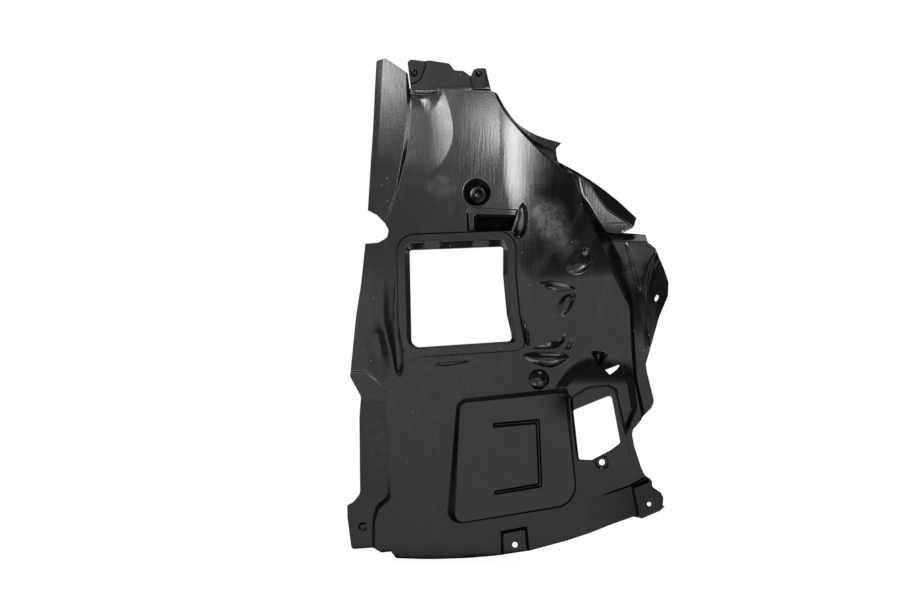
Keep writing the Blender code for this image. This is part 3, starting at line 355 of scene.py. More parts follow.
# Narrow folds that stiffen the right-hand flange: sketch and depth
PLEATS = [
    ([(176, 96), (184, 62), (194, 30), (199, 18), (203, 26), (197, 44), (188, 74), (183, 98)], 3),
    ([(222, 74), (212, 50), (206, 26), (208, -8), (212, -44), (216, -30), (214, 10), (220, 54)], -2),
]

# Ridge down the body: its x at each z, from which the sheet rolls away to the right
RIDGE = [(38, 17), (100, 14), (140, 5), (178, -9), (318, -12), (500, -12)]
RIDGE_SMOOTHING = 30

# Bend under the hollow to the right of the ridge: its z at each x
BEND = [(15, 31), (150, 43)]

# Where the shoulder between the crowned pad and the ridge starts to tilt
SHOULDER_START_X = -78

# Left flange
LEFT_STEP = [
    (-186, -130, 0), (-179, -189.5, 60), (-174.8, -257, 40), (-174.8, -285, 10), (-193.5, -302, 14),
    (-198.8, -320, 20), (-199.3, -390, 0), (-300, -390, 0), (-300, -130, 0),
]
LEFT_STEP_FLOOR = [
    (-189, -136, 0), (-184, -204.5, 60), (-182.5, -257, 40), (-182.3, -281, 8), (-199, -296, 14),
    (-204.2, -316, 20), (-204.8, -395, 0), (-310, -395, 0), (-310, -136, 0),
]
GROOVE = [
    (-189, 96), (-188, 61), (-190, 13), (-186, -24.5), (-176, -62), (-169.5, -92), (-163, -103),
    (-156.5, -96), (-153.5, -77), (-156.5, -54), (-163, -28), (-169, 13), (-171, 61), (-175, 96),
]
PILLOW = [
    (-221, -14), (-199.5, 4), (-188, -24.5), (-178, -62), (-173, -95), (-186, -116), (-206, -99.5),
    (-216, -62),
]
CHIN = [(-260, -93, 0), (-213, -92.5, 4), (-197, -106, 6), (-182, -122, 4), (-186, -139, 4), (-260, -139, 0)]

# Recesses and raised tabs of the lower body
SERVICE = [(-76.5, -135.5, 16), (90, -117.5, 4), (105.5, -294, 34), (-94, -326, 20)]
SERVICE_FLOOR = [(-71.5, -142.5, 12), (84.5, -127.5, 4), (102.8, -292, 32), (-79.5, -323, 12)]
CHANNEL = [
    (-23, -171.5, 1), (48, -165, 2), (52, -268.5, 3), (-23, -281, 1), (-20, -273, 1), (45, -262, 2),
    (41.5, -174, 2), (-23, -179.5, 1),
]
HOOD = [
    (66, -122, 2), (90, -86, 12), (112, -66, 12), (150, -62, 12), (184.5, -44, 3), (187, -75, 30),
    (189, -105, 20), (195, -150, 5), (180, -190, 5), (110, -190, 5), (92, -135, 2),
]
HOOD_TOP = [
    (88, -119, 2), (101, -103, 12), (115, -90, 10), (127, -87.5, 12), (141, -92.5, 4), (153, -103, 8),
    (176, -101, 8), (184, -150, 5), (170, -180, 5), (115, -180, 5), (98, -138, 2),
]
POCKET = [
    (92, -133, 3), (118, -116.5, 14), (150, -112.5, 10), (163.5, -119, 8), (169, -138, 30), (184, -209, 30),
    (186, -240, 10), (104, -240, 6),
]
LEDGE = [(110, -289.5, 0), (181, -264.5, 60), (207, -251, 0), (300, -251, 0), (300, -420, 0), (110, -420, 0)]
RIGHT_TAB_BOX = [(183.5, -266, 1), (217, -252, 1), (270, -252, 0), (270, -340, 0), (197.5, -340, 0)]
CENTRE_TAB = [(-11.5, -333.5, 1), (29.5, -326, 1), (36, -400, 0), (-11, -400, 0)]

# Scoops that stiffen the flat of the body
UPPER_SCOOP = [(46, 38.5), (63, 42), (85.5, 38), (104, 29.5), (90, 25.5), (75, 26), (60, 30)]
UPPER_LEAF = [(102, 22), (99, 8.5), (90, -6.5), (81, -12.5), (75, -5), (75, 8), (82.5, 18), (92, 22.5)]
LOWER_SCOOP = [
    (89, -34), (78, -44), (60, -52), (40.5, -56), (21, -58), (33, -61.5), (60, -61.5), (75, -59), (84, -50),
]
LOWER_EYE = [
    (18.5, -70), (33, -65), (60, -64), (81, -65.5), (92.5, -72), (86, -81), (66, -89.5), (46, -86), (29, -79),
]
SMALL_LEAF = [(97, -44), (94, -60.5), (84, -60.5), (91, -50)]
NOTCH_DIMPLE = [(121.5, -60.5, 3), (153.5, -65.5, 3), (136, -88, 2)]
NOTCH_VALLEY = [(134.2, -69.5, 0), (137, -69.5, 0), (135.8, -83, 0)]

Pressing = namedtuple("Pressing", "rim floor level profile")


def unit(vectors):
    """One vector, or each of a list of vectors, at length 1."""
    return vectors / np.maximum(np.linalg.norm(vectors, axis=-1, keepdims=True), LEAST_LENGTH)


def turns_left(loop):
    """True for a loop that runs anticlockwise."""
    x, z = loop.T
    return np.sum(x * np.roll(z, -1) - z * np.roll(x, -1)) > 0.0


def arc_loop(corners):
    """A closed loop through corners (x, z, radius), each rounded by a tangent arc where its radius allows."""
    loop = []
    places = np.array(corners, dtype=float)[:, :2]
    for index, corner in enumerate(places):
        radius = corners[index][2]
        to_before = places[index - 1] - corner
        to_after = places[(index + 1) % len(places)] - corner
        before, after = unit(to_before), unit(to_after)
        half = math.acos(np.clip(before @ after, -1.0, 1.0)) / 2.0
        turn = math.pi - 2.0 * half
        if radius <= 0.0 or turn < LEAST_TURN:
            loop.append(corner)
            continue
        reach = ARC_SHARE * min(np.linalg.norm(to_before), np.linalg.norm(to_after))
        setback = min(radius / math.tan(half), reach)
        centre = corner + unit(before + after) * setback / math.cos(half)
        start = corner + before * setback - centre
        end = corner + after * setback - centre
        for share in np.linspace(0.0, 1.0, max(1, math.ceil(turn / ARC_STEP)) + 1):
            point = math.sin((1.0 - share) * turn) * start + math.sin(share * turn) * end
            loop.append(centre + point / math.sin(turn))
    return np.array(loop)


def smooth_loop(points):
    """A closed smooth curve through points (x, z), with a few points on each stretch."""
    points = np.array(points, dtype=float)
    shares = np.arange(CURVE_POINTS)[:, None] / CURVE_POINTS
    stretches = []
    for index in range(len(points)):
        p0, p1, p2, p3 = points[np.arange(index - 1, index + 3) % len(points)]
        stretch = 2.0 * p1 + (p2 - p0) * shares + (2.0 * p0 - 5.0 * p1 + 4.0 * p2 - p3) * shares**2
        stretches.append(0.5 * (stretch + (3.0 * p1 - p0 - 3.0 * p2 + p3) * shares**3))
    return np.vstack(stretches)


def oval(centre, radii, tilt=0.0):
    """A round or oval loop around a centre, turned by a tilt in degrees."""
    angles = 2.0 * math.pi * np.arange(OVAL_SIDES) / OVAL_SIDES
    cosine, sine = math.cos(math.radians(tilt)), math.sin(math.radians(tilt))
    level = np.column_stack((np.cos(angles), np.sin(angles))) * radii
    return np.array(centre) + level @ np.array(((cosine, sine), (-sine, cosine)))


def inset(corners, widths):
    """Corners moved inward by one width for each side, the first from the first corner to the second."""
    places = np.array(corners, dtype=float)[:, :2]
    widths = np.broadcast_to(widths, len(corners))
    along = unit(np.roll(places, -1, axis=0) - places)
    inward = np.column_stack((-along[:, 1], along[:, 0])) * (1.0 if turns_left(places) else -1.0)
    lines = places + inward * widths[:, None]
    moved = []
    for index, (_, _, radius) in enumerate(corners):
        slide = (lines[index] - lines[index - 1]) @ inward[index] / (along[index - 1] @ inward[index])
        smaller = max(LEAST_RADIUS, radius - min(widths[index - 1], widths[index])) if radius else 0.0
        moved.append((*(lines[index - 1] + along[index - 1] * slide), smaller))
    return moved


def moved_in(loop, distance):
    """A closed loop moved inward by a distance, or outward by a negative one."""
    ahead = unit(np.roll(loop, -1, axis=0) - loop)
    middle = unit(ahead + np.roll(ahead, 1, axis=0))
    left = distance if turns_left(loop) else -distance
    return loop + left * np.column_stack((-middle[:, 1], middle[:, 0]))


def shrunk(loop, scale, shift):
    """A loop drawn in towards its own centre by a scale, or one along X and one along Z, then shifted."""
    centre = loop.mean(axis=0)
    return centre + (loop - centre) * scale + shift


def contains(loop, points):
    """True for each point inside a closed loop, by the even-odd rule."""
    inside = np.zeros(len(points), dtype=bool)
    x, z = points.T
    for (ax, az), (bx, bz) in zip(loop, np.roll(loop, -1, axis=0)):
        if az != bz:
            inside ^= ((az > z) != (bz > z)) & (x < (bx - ax) * (z - az) / (bz - az) + ax)
    return inside


def nearest_on(loop, points):
    """The nearest place on a closed loop for each point."""
    best = np.full(len(points), np.inf)
    found = np.array(points)
    for start, end in zip(loop, np.roll(loop, -1, axis=0)):
        along = end - start
        share = np.clip((points - start) @ along / max(along @ along, LEAST_LENGTH), 0.0, 1.0)
        place = start + share[:, None] * along
        gap = np.hypot(*(points - place).T)
        closer = gap < best
        best[closer] = gap[closer]
        found[closer] = place[closer]
    return found


def distance_to(loop, points):
    """Distance from each point to the nearest place on a closed loop."""
    return np.hypot(*(points - nearest_on(loop, points)).T)


def share_of(value, start, end):
    """How far a value is from a start to an end, as a share that stays within 0 and 1."""
    return np.clip((value - start) / (end - start), 0.0, 1.0)


def eased(distance, run):
    """A distance that starts to count softly, and in the end lags by a run."""
    return distance - run * (1.0 - np.exp(-distance / run))


def smoothed(z, table, reach):
    """The value that a table of pairs gives at each z, with its bends smoothed over a reach up and down."""
    shifts = np.linspace(-reach, reach, SMOOTHING_STEPS)
    return np.mean([np.interp(z + shift, *zip(*table)) for shift in shifts], axis=0)


def ramp(share, rounding=0.2):
    """A straight ramp from 0 to 1 with rounded ends."""
    near = np.minimum(share, 1.0 - share)
    risen = np.where(near < rounding, near**2 / (2.0 * rounding), near - rounding / 2.0) / (1.0 - rounding)
    return np.where(share < 0.5, risen, 1.0 - risen)


def dome(share, fillet=0.12):
    """A small fillet at the rim, steep inside it and level at the top, as a dimple is."""
    inner = 1.0 - ((1.0 - share) / (1.0 - fillet)) ** 2
    return np.where(share < fillet, share**2 / fillet, fillet + (1.0 - fillet) * inner)


def crowned(share):
    """Steepest at the rim, and easing off to a wide level top."""
    return 1.0 - (1.0 - share) ** CROWN_POWER


def soft(share):
    """Level at the rim and at the floor, as a fold with wide radii is."""
    return share**2 * (3.0 - 2.0 * share)


# Each scoop: its sketch, its depth, how its floor is drawn in and shifted from its rim, and its profile
SCOOPS = [
    (SPOON, 9, (0.3, 0.6), (-1, 2), soft),
    (UPPER_SCOOP, -4, (0.75, 0.3), (0, -2.6), ramp),
    (UPPER_LEAF, -5.6, (0.3, 0.6), (1, 1), ramp),
    (LOWER_SCOOP, 4, (0.7, 0.2), (2, 4.5), soft),
    (LOWER_EYE, -7, (0.3, 0.12), (4, -1), dome),
    (SMALL_LEAF, 2, (0.4, 0.4), (1, -1), ramp),
    (WINDOW_LEAF, 4.8, (0.2, 0.6), (4.5, 0), soft),
    (WINDOW_LENS, 2, (0.7, 0.4), (0, 0), soft),
]

# Each convex dimple of the flat: centre, radii, depth, the share that is its top, shift of the top, tilt
DIMPLES = [
    ((46, -106.5), 16.5, -8, 0.1, (0, 0), 0),
    ((108, 71.5), (25, 18), -9.5, 0.1, (5, -2), 40),
]
NOTCH_DEPTH = 10


def arch_level(z):
    """Depth of the arch alone: flat below its start, then curving towards the wheel."""
    rise = np.clip(z - ARCH_START_Z, 0.0, ARCH_SHARE * ARCH_RADIUS)
    return np.sqrt(ARCH_RADIUS**2 - rise**2) - ARCH_RADIUS


def body_level(points):
    """Depth of the bare body: the arch, upright above the flange line, and rolled away right of its ridge."""
    x, z = points.T
    arch = arch_level(np.minimum(z, FLANGE_START_Z))
    past = np.maximum(x - smoothed(z, RIDGE, RIDGE_SMOOTHING), 0.0)
    curved = np.minimum(past, ROLL_WIDTH)
    roll = ROLL_FIRST_SLOPE * eased(past, ROLL_FIRST_RUN)
    roll += (curved**2 / 2.0 + ROLL_WIDTH * (past - curved)) / ROLL_RADIUS
    roll += FOOT_SLOPE * (past - eased(past, FOOT_RUN)) * share_of(z, *FOOT_SPAN)
    above = np.maximum(z - np.interp(x, *zip(*BEND)), 0.0)
    hollow = HOLLOW_SLOPE * eased(above, HOLLOW_RUN) - arch
    gap = share_of(hollow - roll, -HOLLOW_BLEND, HOLLOW_BLEND)
    rolled = hollow + (roll - hollow) * gap - HOLLOW_BLEND * gap * (1.0 - gap)
    rolled = np.where((past > 0.0) & (above > 0.0), np.maximum(rolled, 0.0), 0.0)
    shoulder = (SHOULDER_START_X, RIDGE[-1][1])
    tilt = SHOULDER_SLOPE * np.ptp(shoulder) * share_of(x, *shoulder) ** 2 / 2.0
    return arch + rolled + tilt * soft(share_of(z, *SHOULDER_SPAN))


def graded(heights, amounts):
    """A level that lies deeper than the sheet around it by an amount that changes with height."""
    return lambda x, z, depth: depth + np.interp(z, heights, amounts)


def sloping(follows, start, slope_x=0.0, slope_z=0.0, middle_z=0.0):
    """A level with slopes along X and Z, on the sheet around it, or on nothing where follows is 0."""
    return lambda x, z, depth: follows * depth + start + slope_x * x + slope_z * (z - middle_z)


def formed(corners, floor_corners, level, profile=ramp):
    """A pressing between two sketches of corners. A plain number as level is a depth below the sheet."""
    return Pressing(arc_loop(corners), arc_loop(floor_corners), level, profile)


def drawn(corners, walls, level):
    """A pressing whose floor is its rim moved inward by the width of its walls."""
    return formed(corners, inset(corners, walls), level)


def scooped(points, level, scale, shift=(0.0, 0.0), profile=soft):
    """A pressing with a smooth rim, which its floor repeats at a scale."""
    rim = smooth_loop(points)
    return Pressing(rim, shrunk(rim, scale, shift), level, profile)


def dimple(centre, radii, level, floor_share, shift=(0.0, 0.0), tilt=0.0, profile=ramp):
    """A round or oval dimple, whose floor may sit off its centre."""
    rim = oval(centre, radii, tilt)
    return Pressing(rim, shrunk(rim, floor_share, shift), level, profile)


def head():
    """The crowned pad, the valley under the flange and the two fixing tabs of the head."""
    def crown_rise(x, z, depth):
        return depth - CROWN_RISE * soft(share_of(z, *CROWN_FOOT_SPAN)) * soft(share_of(z, *CROWN_TOP_SPAN))

    return [
        formed(CROWN_RIM, CROWN_TOP, crown_rise, crowned),
        drawn(VALLEY, DRAWN_WALL, VALLEY_DEPTH),
        drawn(LEFT_SEAT, DRAWN_WALL, TAB_SEAT_DEPTH),
        drawn(RIGHT_TAB, DRAWN_WALL, -TAB_RISE),
    ]


def blade():
    """The raised strip up the left edge, which keeps the arch curve to its top, and its folded free side."""
    def blade_level(x, z, depth):
        return arch_level(z) - np.interp(z, *BLADE_STEP_DEPTHS)

    fold = np.array(BLADE_FOLD, dtype=float)
    outer = np.array([(SKETCH_SIDE_X, BLADE_FOLD[-1][1]), (SKETCH_SIDE_X, BLADE_FOLD[0][1])])
    fold_sides = [np.vstack((fold - (width, 0.0), outer)) for width in (0.0, BLADE_FOLD_WIDTH)]
    return [
        Pressing(np.array(BLADE_WALL_FOOT, float), np.array(BLADE_EDGE, float), blade_level, ramp),
        Pressing(*fold_sides, graded(*BLADE_FOLD_DEPTHS), ramp),
    ]


def right_side():
    """The lip along the upper right edge, the side wall, its folds and the wing."""
    def side_level(x, z, depth):
        twist = SIDE_TWIST * (x - SIDE_TWIST_X) * share_of(z, *SIDE_TWIST_SPAN)
        return smoothed(z, SIDE_LEVELS, SIDE_SMOOTHING) + twist

    top_fold_end = [(x, z + SIDE_TOP_FOLD_RUN, radius) for x, z, radius in SIDE_TOP_FOLD]
    return [
        formed(BODY_EDGE, SIDE_FOOT, side_level),
        formed(LIP_FOOT, LIP, sloping(*LIP_LEVEL)),
        formed(SIDE_TOP_FOLD, top_fold_end, SIDE_TOP_FOLD_DEPTH),
        formed(SIDE_FOLD, SIDE_FOLD_END, SIDE_FOLD_DEPTH, soft),
        *(scooped(*pleat, PLEAT_FLOOR) for pleat in PLEATS),
        drawn(WING, DRAWN_WALL, sloping(*WING_LEVEL)),
    ]


def left_side():
    """The stepped left flange, with its groove, pillow and chin."""
    return [
        formed(LEFT_STEP, LEFT_STEP_FLOOR, graded(*LEFT_STEP_DEPTHS)),
        scooped(GROOVE, graded(*GROOVE_DEPTHS), *GROOVE_FLOOR),
        scooped(PILLOW, -PILLOW_RISE, PILLOW_TOP),
        drawn(CHIN, CHIN_WALL, graded(*CHIN_DEPTHS)),
    ]


def window():
    """The raised frame of the large window, the return wall inside it and the two lugs on its upper wall."""
    rim = inset(WINDOW, np.negative(WINDOW_RETURN_RUNS))
    return [
        formed(inset(rim, -FRAME_WIDTH), inset(rim, FRAME_WALL - FRAME_WIDTH), -FRAME_RISE),
        formed(rim, WINDOW, graded(*WINDOW_RETURN_DEPTHS)),
        *(drawn(lug, DRAWN_WALL, sloping(*LUG_LEVEL)) for lug in LUGS),
    ]


def pockets():
    """The deep round cup with the screw seat in its floor, and the framed duct pocket above the window."""
    def bowl(x, z, depth):
        away = np.minimum(np.hypot(x - CUP_SEAT[0], z - CUP_SEAT[1]), CUP_FLOOR_RADIUS)
        return depth + CUP_DEPTH - CUP_BOWL * away**2

    shift = np.subtract(CUP_SEAT, CUP_CENTRE)
    wall = dimple(CUP_CENTRE, CUP_RADIUS, bowl, CUP_FLOOR_RADIUS / CUP_RADIUS, shift)
    frame_and_pocket = [
        drawn(DUCT_FRAME, DUCT_WALLS, DUCT_FRAME_DEPTH),
        drawn(DUCT_POCKET, DUCT_POCKET_WALLS, sloping(*DUCT_LEVEL)),
    ]
    return [wall] + [dimple(*seat) for seat in CUP_SEATS] + frame_and_pocket


def scoops():
    """The spoon-shaped pocket, and the scoops and dimples that stiffen the flat of the body."""
    return [
        *(scooped(*scoop) for scoop in SCOOPS),
        *(dimple(*entry, profile=dome) for entry in DIMPLES),
        formed(NOTCH_DIMPLE, NOTCH_VALLEY, NOTCH_DEPTH),
    ]


def service_panel():
    """The recess of the service panel and the channel pressed in its floor."""
    corner_x, corner_z, _ = SERVICE_FLOOR[1]
    tilted = sloping(*SERVICE_LEVEL)

    def service_level(x, z, depth):
        near = share_of(np.hypot(x - corner_x, z - corner_z), SERVICE_CORNER_REACH, 0.0)
        return tilted(x, z, depth) + SERVICE_CORNER_DROP * near**2

    return [formed(SERVICE, SERVICE_FLOOR, service_level), drawn(CHANNEL, CHANNEL_WALL, CHANNEL_DEPTH)]


def small_window():
    """The hood over the small window, the pocket round it, and the screw seat and ledge below it."""
    def hood_rise(x, z, depth):
        return depth - HOOD_TOP_RISE - (HOOD_RISE - HOOD_TOP_RISE) * soft(share_of(z, *HOOD_SPAN))

    def pocket_level(x, z, depth):
        return np.interp(z, *POCKET_DEPTHS)

    def ledge_level(x, z, depth):
        return depth + LEDGE_DEPTH * share_of(x, LEDGE[0][0], LEDGE[2][0]) ** 2

    return [
        formed(HOOD, HOOD_TOP, hood_rise, soft),
        drawn(POCKET, POCKET_WALL, pocket_level),
        dimple(*SCREW_SEAT),
        drawn(LEDGE, LEDGE_WALL, ledge_level),
    ]


def foot_tabs():
    """The raised tab at the lower right and the sunk tab in the middle of the foot."""
    right = drawn(RIGHT_TAB_BOX, RIGHT_TAB_WALL, sloping(*RIGHT_TAB_LEVEL))
    return [right, drawn(CENTRE_TAB, CENTRE_TAB_WALL, CENTRE_TAB_DEPTH)]


def all_pressings():
    """Every pressing, in the order in which each one builds on those before it."""
    return (
        head() + blade() + right_side() + left_side() + window() + pockets() + scoops()
        + service_panel() + small_window() + foot_tabs() + [dimple(*fixing) for fixing in FIXINGS]
    )


def pressed_depth(points, pressings):
    """Depth of the finished sheet at each point (x, z)."""
    depth = body_level(points)
    for rim, floor, level, profile in pressings:
        inside = contains(rim, points)
        picked = points[inside]
        to_rim = distance_to(rim, picked)
        to_floor = np.where(contains(floor, picked), 0.0, distance_to(floor, picked))
        blend = profile(to_rim / np.maximum(to_rim + to_floor, LEAST_LENGTH))
        target = level(*picked.T, depth[inside]) if callable(level) else depth[inside] + level
        depth[inside] += blend * (target - depth[inside])
    return depth


def slot_loop():
    """The slotted hole of the right-hand flange."""
    upper = SLOT_TILT + np.linspace(-0.5 * math.pi, 0.5 * math.pi, 5)
    offset = (SLOT_HALF_LENGTH - SLOT_RADIUS) * np.array((math.cos(SLOT_TILT), math.sin(SLOT_TILT)))
    half = offset + SLOT_RADIUS * np.column_stack((np.cos(upper), np.sin(upper)))
    return np.array(SLOT_CENTRE) + np.vstack((half, -half))


def trim_loops():
    """The outline, with side 1, and every opening that is cut through the sheet, with side -1."""
    openings = [arc_loop(corners) for corners in (WINDOW, SMALL_WINDOW, SLIVER)]
    openings += [oval(*hole) for hole in ROUND_HOLES] + [slot_loop()]
    return [(arc_loop(OUTLINE), 1.0)] + [(opening, -1.0) for opening in openings]


def on_sheet(points, trims):
    """True for each point within the outline and outside every opening."""
    return np.all([contains(loop, points) == (side > 0.0) for loop, side in trims], axis=0)


def divided(line):
    """A line with points added, so that no stretch is longer than the step of the lines."""
    points = []
    for start, end in zip(line[:-1], line[1:]):
        pieces = max(1, math.ceil(np.linalg.norm(end - start) / LINE_STEP))
        points.extend(start + (end - start) * step / pieces for step in range(pieces))
    return np.array(points + [line[-1]])


def closed(loop):
    """A loop as a line that ends where it starts."""
    return np.vstack((loop, loop[:1]))


def within(line, low, high):
    """The pieces of a line that lie within a box."""
    outside = np.flatnonzero(np.any((line <= low) | (line >= high), axis=1))
    pieces = (line[before + 1:after] for before, after in zip((-1, *outside), (*outside, len(line))))
    return [piece for piece in pieces if len(piece) > 1]


def wall_lines(pressing, low, high):
    """Lines on a pressing's wall, from its rim to its floor, where the wall lies within the sheet."""
    rim, floor = (divided(closed(loop))[:-1] for loop in (pressing.rim, pressing.floor))
    lines = [rim, floor]
    for loop, distance in ((rim, -GUARD), (floor, GUARD)):
        if np.ptp(loop, axis=0).min() > LEAST_GUARDED:
            lines.append(moved_in(loop, distance))
    across = nearest_on(pressing.floor, rim) - rim
    shares = WIDE_WALL_SHARES if np.median(np.hypot(*across.T)) > WIDE_WALL else WALL_SHARES
    if pressing.profile is dome:
        shares = DOME_SHARES
    lines += [rim + across * share for share in shares]
    return [piece for line in lines for piece in within(closed(line), low, high)]


def mesh_lines(pressings, trims):
    """The lines that the edges of the facets follow."""
    low = trims[0][0].min(axis=0) - LINE_MARGIN
    high = trims[0][0].max(axis=0) + LINE_MARGIN
    lines = []
    for loop, side in trims:
        fine = divided(closed(loop))
        lines.append(fine)
        lines.extend(closed(moved_in(fine[:-1], side * distance)) for distance in EDGE_LINES)
    for pressing in pressings:
        lines.extend(wall_lines(pressing, low, high))
    heights = np.arange(RIDGE[0][0], high[1], LINE_STEP)
    ridge = np.column_stack((smoothed(heights, RIDGE, RIDGE_SMOOTHING), heights))
    flange = [(x, FLANGE_START_Z) for x in FLANGE_ENDS_X]
    return lines + [divided(np.array(bend, dtype=float)) for bend in (flange, ridge, BEND)]


def grid_points(lines, trims):
    """Points on a triangular grid over the sheet, clear of the lines."""
    low, high = trims[0][0].min(axis=0), trims[0][0].max(axis=0)
    points = []
    for number, row in enumerate(np.arange(low[1], high[1], GRID_STEP * math.sqrt(0.75))):
        columns = np.arange(low[0] + 0.5 * GRID_STEP * (number % 2), high[0], GRID_STEP)
        points.extend((column, row) for column in columns)
    points = np.array(points)
    line_points = np.vstack(lines)
    tree = KDTree(len(line_points))
    for index, (x, z) in enumerate(line_points):
        tree.insert((x, z, 0.0), index)
    tree.balance()
    kept = points[on_sheet(points, trims)]
    return [(x, z) for x, z in kept if tree.find((x, z, 0.0))[2] >= GRID_CLEARANCE * GRID_STEP]


def triangulated(pressings, trims):
    """The sheet's points (x, z) and the triangles between them, with every line kept as edges."""
    lines = mesh_lines(pressings, trims)
    points = []
    edges = []
    for line in lines:
        edges.extend((len(points) + index, len(points) + index + 1) for index in range(len(line) - 1))
        points.extend(line)
    points.extend(grid_points(lines, trims))
    flat = [Vector(point) for point in points]
    result = delaunay_2d_cdt(flat, edges, [], 0, MERGE_DISTANCE, False)
    found = np.array([tuple(point) for point in result[0]])
    triangles = np.array(result[2])
    triangles = triangles[on_sheet(found[triangles].mean(axis=1), trims)]
    used, renumbered = np.unique(triangles, return_inverse=True)
    return found[used], renumbered.reshape(-1, 3)


def finished_depth(points, pressings, trims):
    """Depth of the front face, with the pressings and the small radius along each trimmed edge."""
    edge = np.full(len(points), np.inf)
    for loop, side in trims:
        near = (points > loop.min(axis=0) - EDGE_RADIUS) & (points < loop.max(axis=0) + EDGE_RADIUS)
        close = np.flatnonzero(near.all(axis=1))
        signs = np.where(contains(loop, points[close]), side, -side)
        edge[close] = np.minimum(edge[close], signs * distance_to(loop, points[close]))
    reach = np.clip(EDGE_RADIUS - edge, 0.0, EDGE_RADIUS)
    return pressed_depth(points, pressings) + EDGE_RADIUS - np.sqrt(EDGE_RADIUS**2 - reach**2)


def slope_along(step, points, pressings, trims):
    """How fast the front face deepens along a step, measured to both sides of each point."""
    rise = finished_depth(points + step, pressings, trims) - finished_depth(points - step, pressings, trims)
    return rise / (2.0 * SLOPE_REACH)


def boundary_edges(triangles):
    """The directed edges that only one triangle has."""
    there = set(map(tuple, triangles[:, ((0, 1), (1, 2), (2, 0))].reshape(-1, 2).tolist()))
    return np.array([edge for edge in there if (edge[1], edge[0]) not in there])


def sheet_mesh(name):
    """The sheet as a closed mesh whose normals follow the pressed surface."""
    pressings = all_pressings()
    trims = trim_loops()
    points, triangles = triangulated(pressings, trims)
    depth = finished_depth(points, pressings, trims)
    steps = ((SLOPE_REACH, 0.0), (0.0, SLOPE_REACH))
    along_x, along_z = (slope_along(step, points, pressings, trims) for step in steps)
    steepness = 1.0 + along_x**2 + along_z**2
    back = depth + SHEET_THICKNESS * np.minimum(steepness**THINNING, MOST_THICKENED)
    count = len(points)
    corners = np.vstack([np.column_stack((points[:, 0], face, points[:, 1])) for face in (depth, back)])
    corners = (corners - np.array(SKETCH_CENTRE)) * MM
    a, b = boundary_edges(triangles).T
    walls = np.vstack((np.column_stack((b, a, a + count)), np.column_stack((b, a + count, b + count))))
    behind = triangles[:, ::-1]
    faces = np.vstack((triangles, behind + count, walls))
    normals = unit(np.column_stack((along_x, -np.ones(count), along_z)))
    side = points[a] - points[b]
    outward = unit(np.column_stack((side[:, 1], np.zeros(len(side)), -side[:, 0])))
    wall_normals = np.repeat(np.vstack((outward, outward)), 3, axis=0)
    mesh = bpy.data.meshes.new(name)
    mesh.from_pydata(corners.tolist(), [], faces.tolist(), shade_flat=False)
    corner_normals = np.vstack((normals[triangles.ravel()], -normals[behind.ravel()], wall_normals))
    mesh.normals_split_custom_set(corner_normals.tolist())
    return mesh


def feed(tree, socket, value):
    """Links a socket to another one, or sets it to a plain value."""
    if isinstance(value, bpy.types.NodeSocket):
        tree.links.new(value, socket)
    else:
        socket.default_value = value


def add_node(tree, kind, inputs, **settings):
    """A node with its settings, and with each of its inputs, by name or number, linked or set."""
    node = tree.nodes.new("ShaderNode" + kind)
    for name, value in settings.items():
        setattr(node, name, value)
    for name, value in inputs.items():
        feed(tree, node.inputs[name], value)
    return node


def maths(tree, operation, first, second):
    """The result of a maths node on two sockets or numbers."""
    return add_node(tree, "Math", {0: first, 1: second}, operation=operation).outputs[0]


def weighted(tree, weights, *sockets):
    """The first weight, with each socket added to it at its own weight."""
    total = weights[0]
    for socket, weight in zip(sockets, weights[1:]):
        total = maths(tree, "ADD", total, maths(tree, "MULTIPLY", socket, weight))
    return total


def between(tree, value, low, high, kind="SMOOTHSTEP"):
    """A value turned into a share that runs from 0 at the low end to 1 at the high end."""
    inputs = {"Value": value, "From Min": low, "From Max": high}
    return add_node(tree, "MapRange", inputs, interpolation_type=kind).outputs["Result"]


def sheet_noise(tree, where, scale, detail):
    """Noise with a number of features per metre along each axis."""
    stretched = add_node(tree, "Mapping", {"Vector": where, "Scale": scale}).outputs["Vector"]
    inputs = {"Vector": stretched, "Scale": 1.0, "Detail": detail, "Roughness": NOISE_ROUGHNESS}
    return add_node(tree, "TexNoise", inputs).outputs["Fac"]


def patches(tree, where, table):
    """The cloudy patches of a table: 0 outside them."""
    blobs = []
    for (x, z), (radius_x, radius_z), tilt, _ in table:
        inputs = {
            "Vector": where,
            "Location": ((x - SKETCH_CENTRE[0]) * MM, 0.0, (z - SKETCH_CENTRE[2]) * MM),
            "Rotation": (0.0, math.radians(tilt), 0.0),
            "Scale": (radius_x * MM, 1.0, radius_z * MM),
        }
        placed = add_node(tree, "Mapping", inputs, vector_type="TEXTURE").outputs["Vector"]
        blob = add_node(tree, "TexGradient", {"Vector": placed}, gradient_type="SPHERICAL").outputs["Fac"]
        blobs.append(between(tree, blob, *PATCH_RANGE))
    strengths = [0.0] + [patch[3] for patch in table]
    cloudy = between(tree, sheet_noise(tree, where, *CLOUDS), *CLOUD_RANGE)
    return maths(tree, "MULTIPLY", weighted(tree, strengths, *blobs), cloudy)


def dust(tree, where):
    """Small pale specks scattered over the sheet: 1 on a speck."""
    cells = add_node(tree, "TexVoronoi", {"Vector": where, "Scale": DUST_SCALE})
    return between(tree, cells.outputs["Distance"], DUST_SIZE, 0.5 * DUST_SIZE)


def new_material(name):
    """A material with its node tree and its shader."""
    material = bpy.data.materials.new(name)
    material.use_nodes = True
    return material, material.node_tree, material.node_tree.nodes["Principled BSDF"].inputs


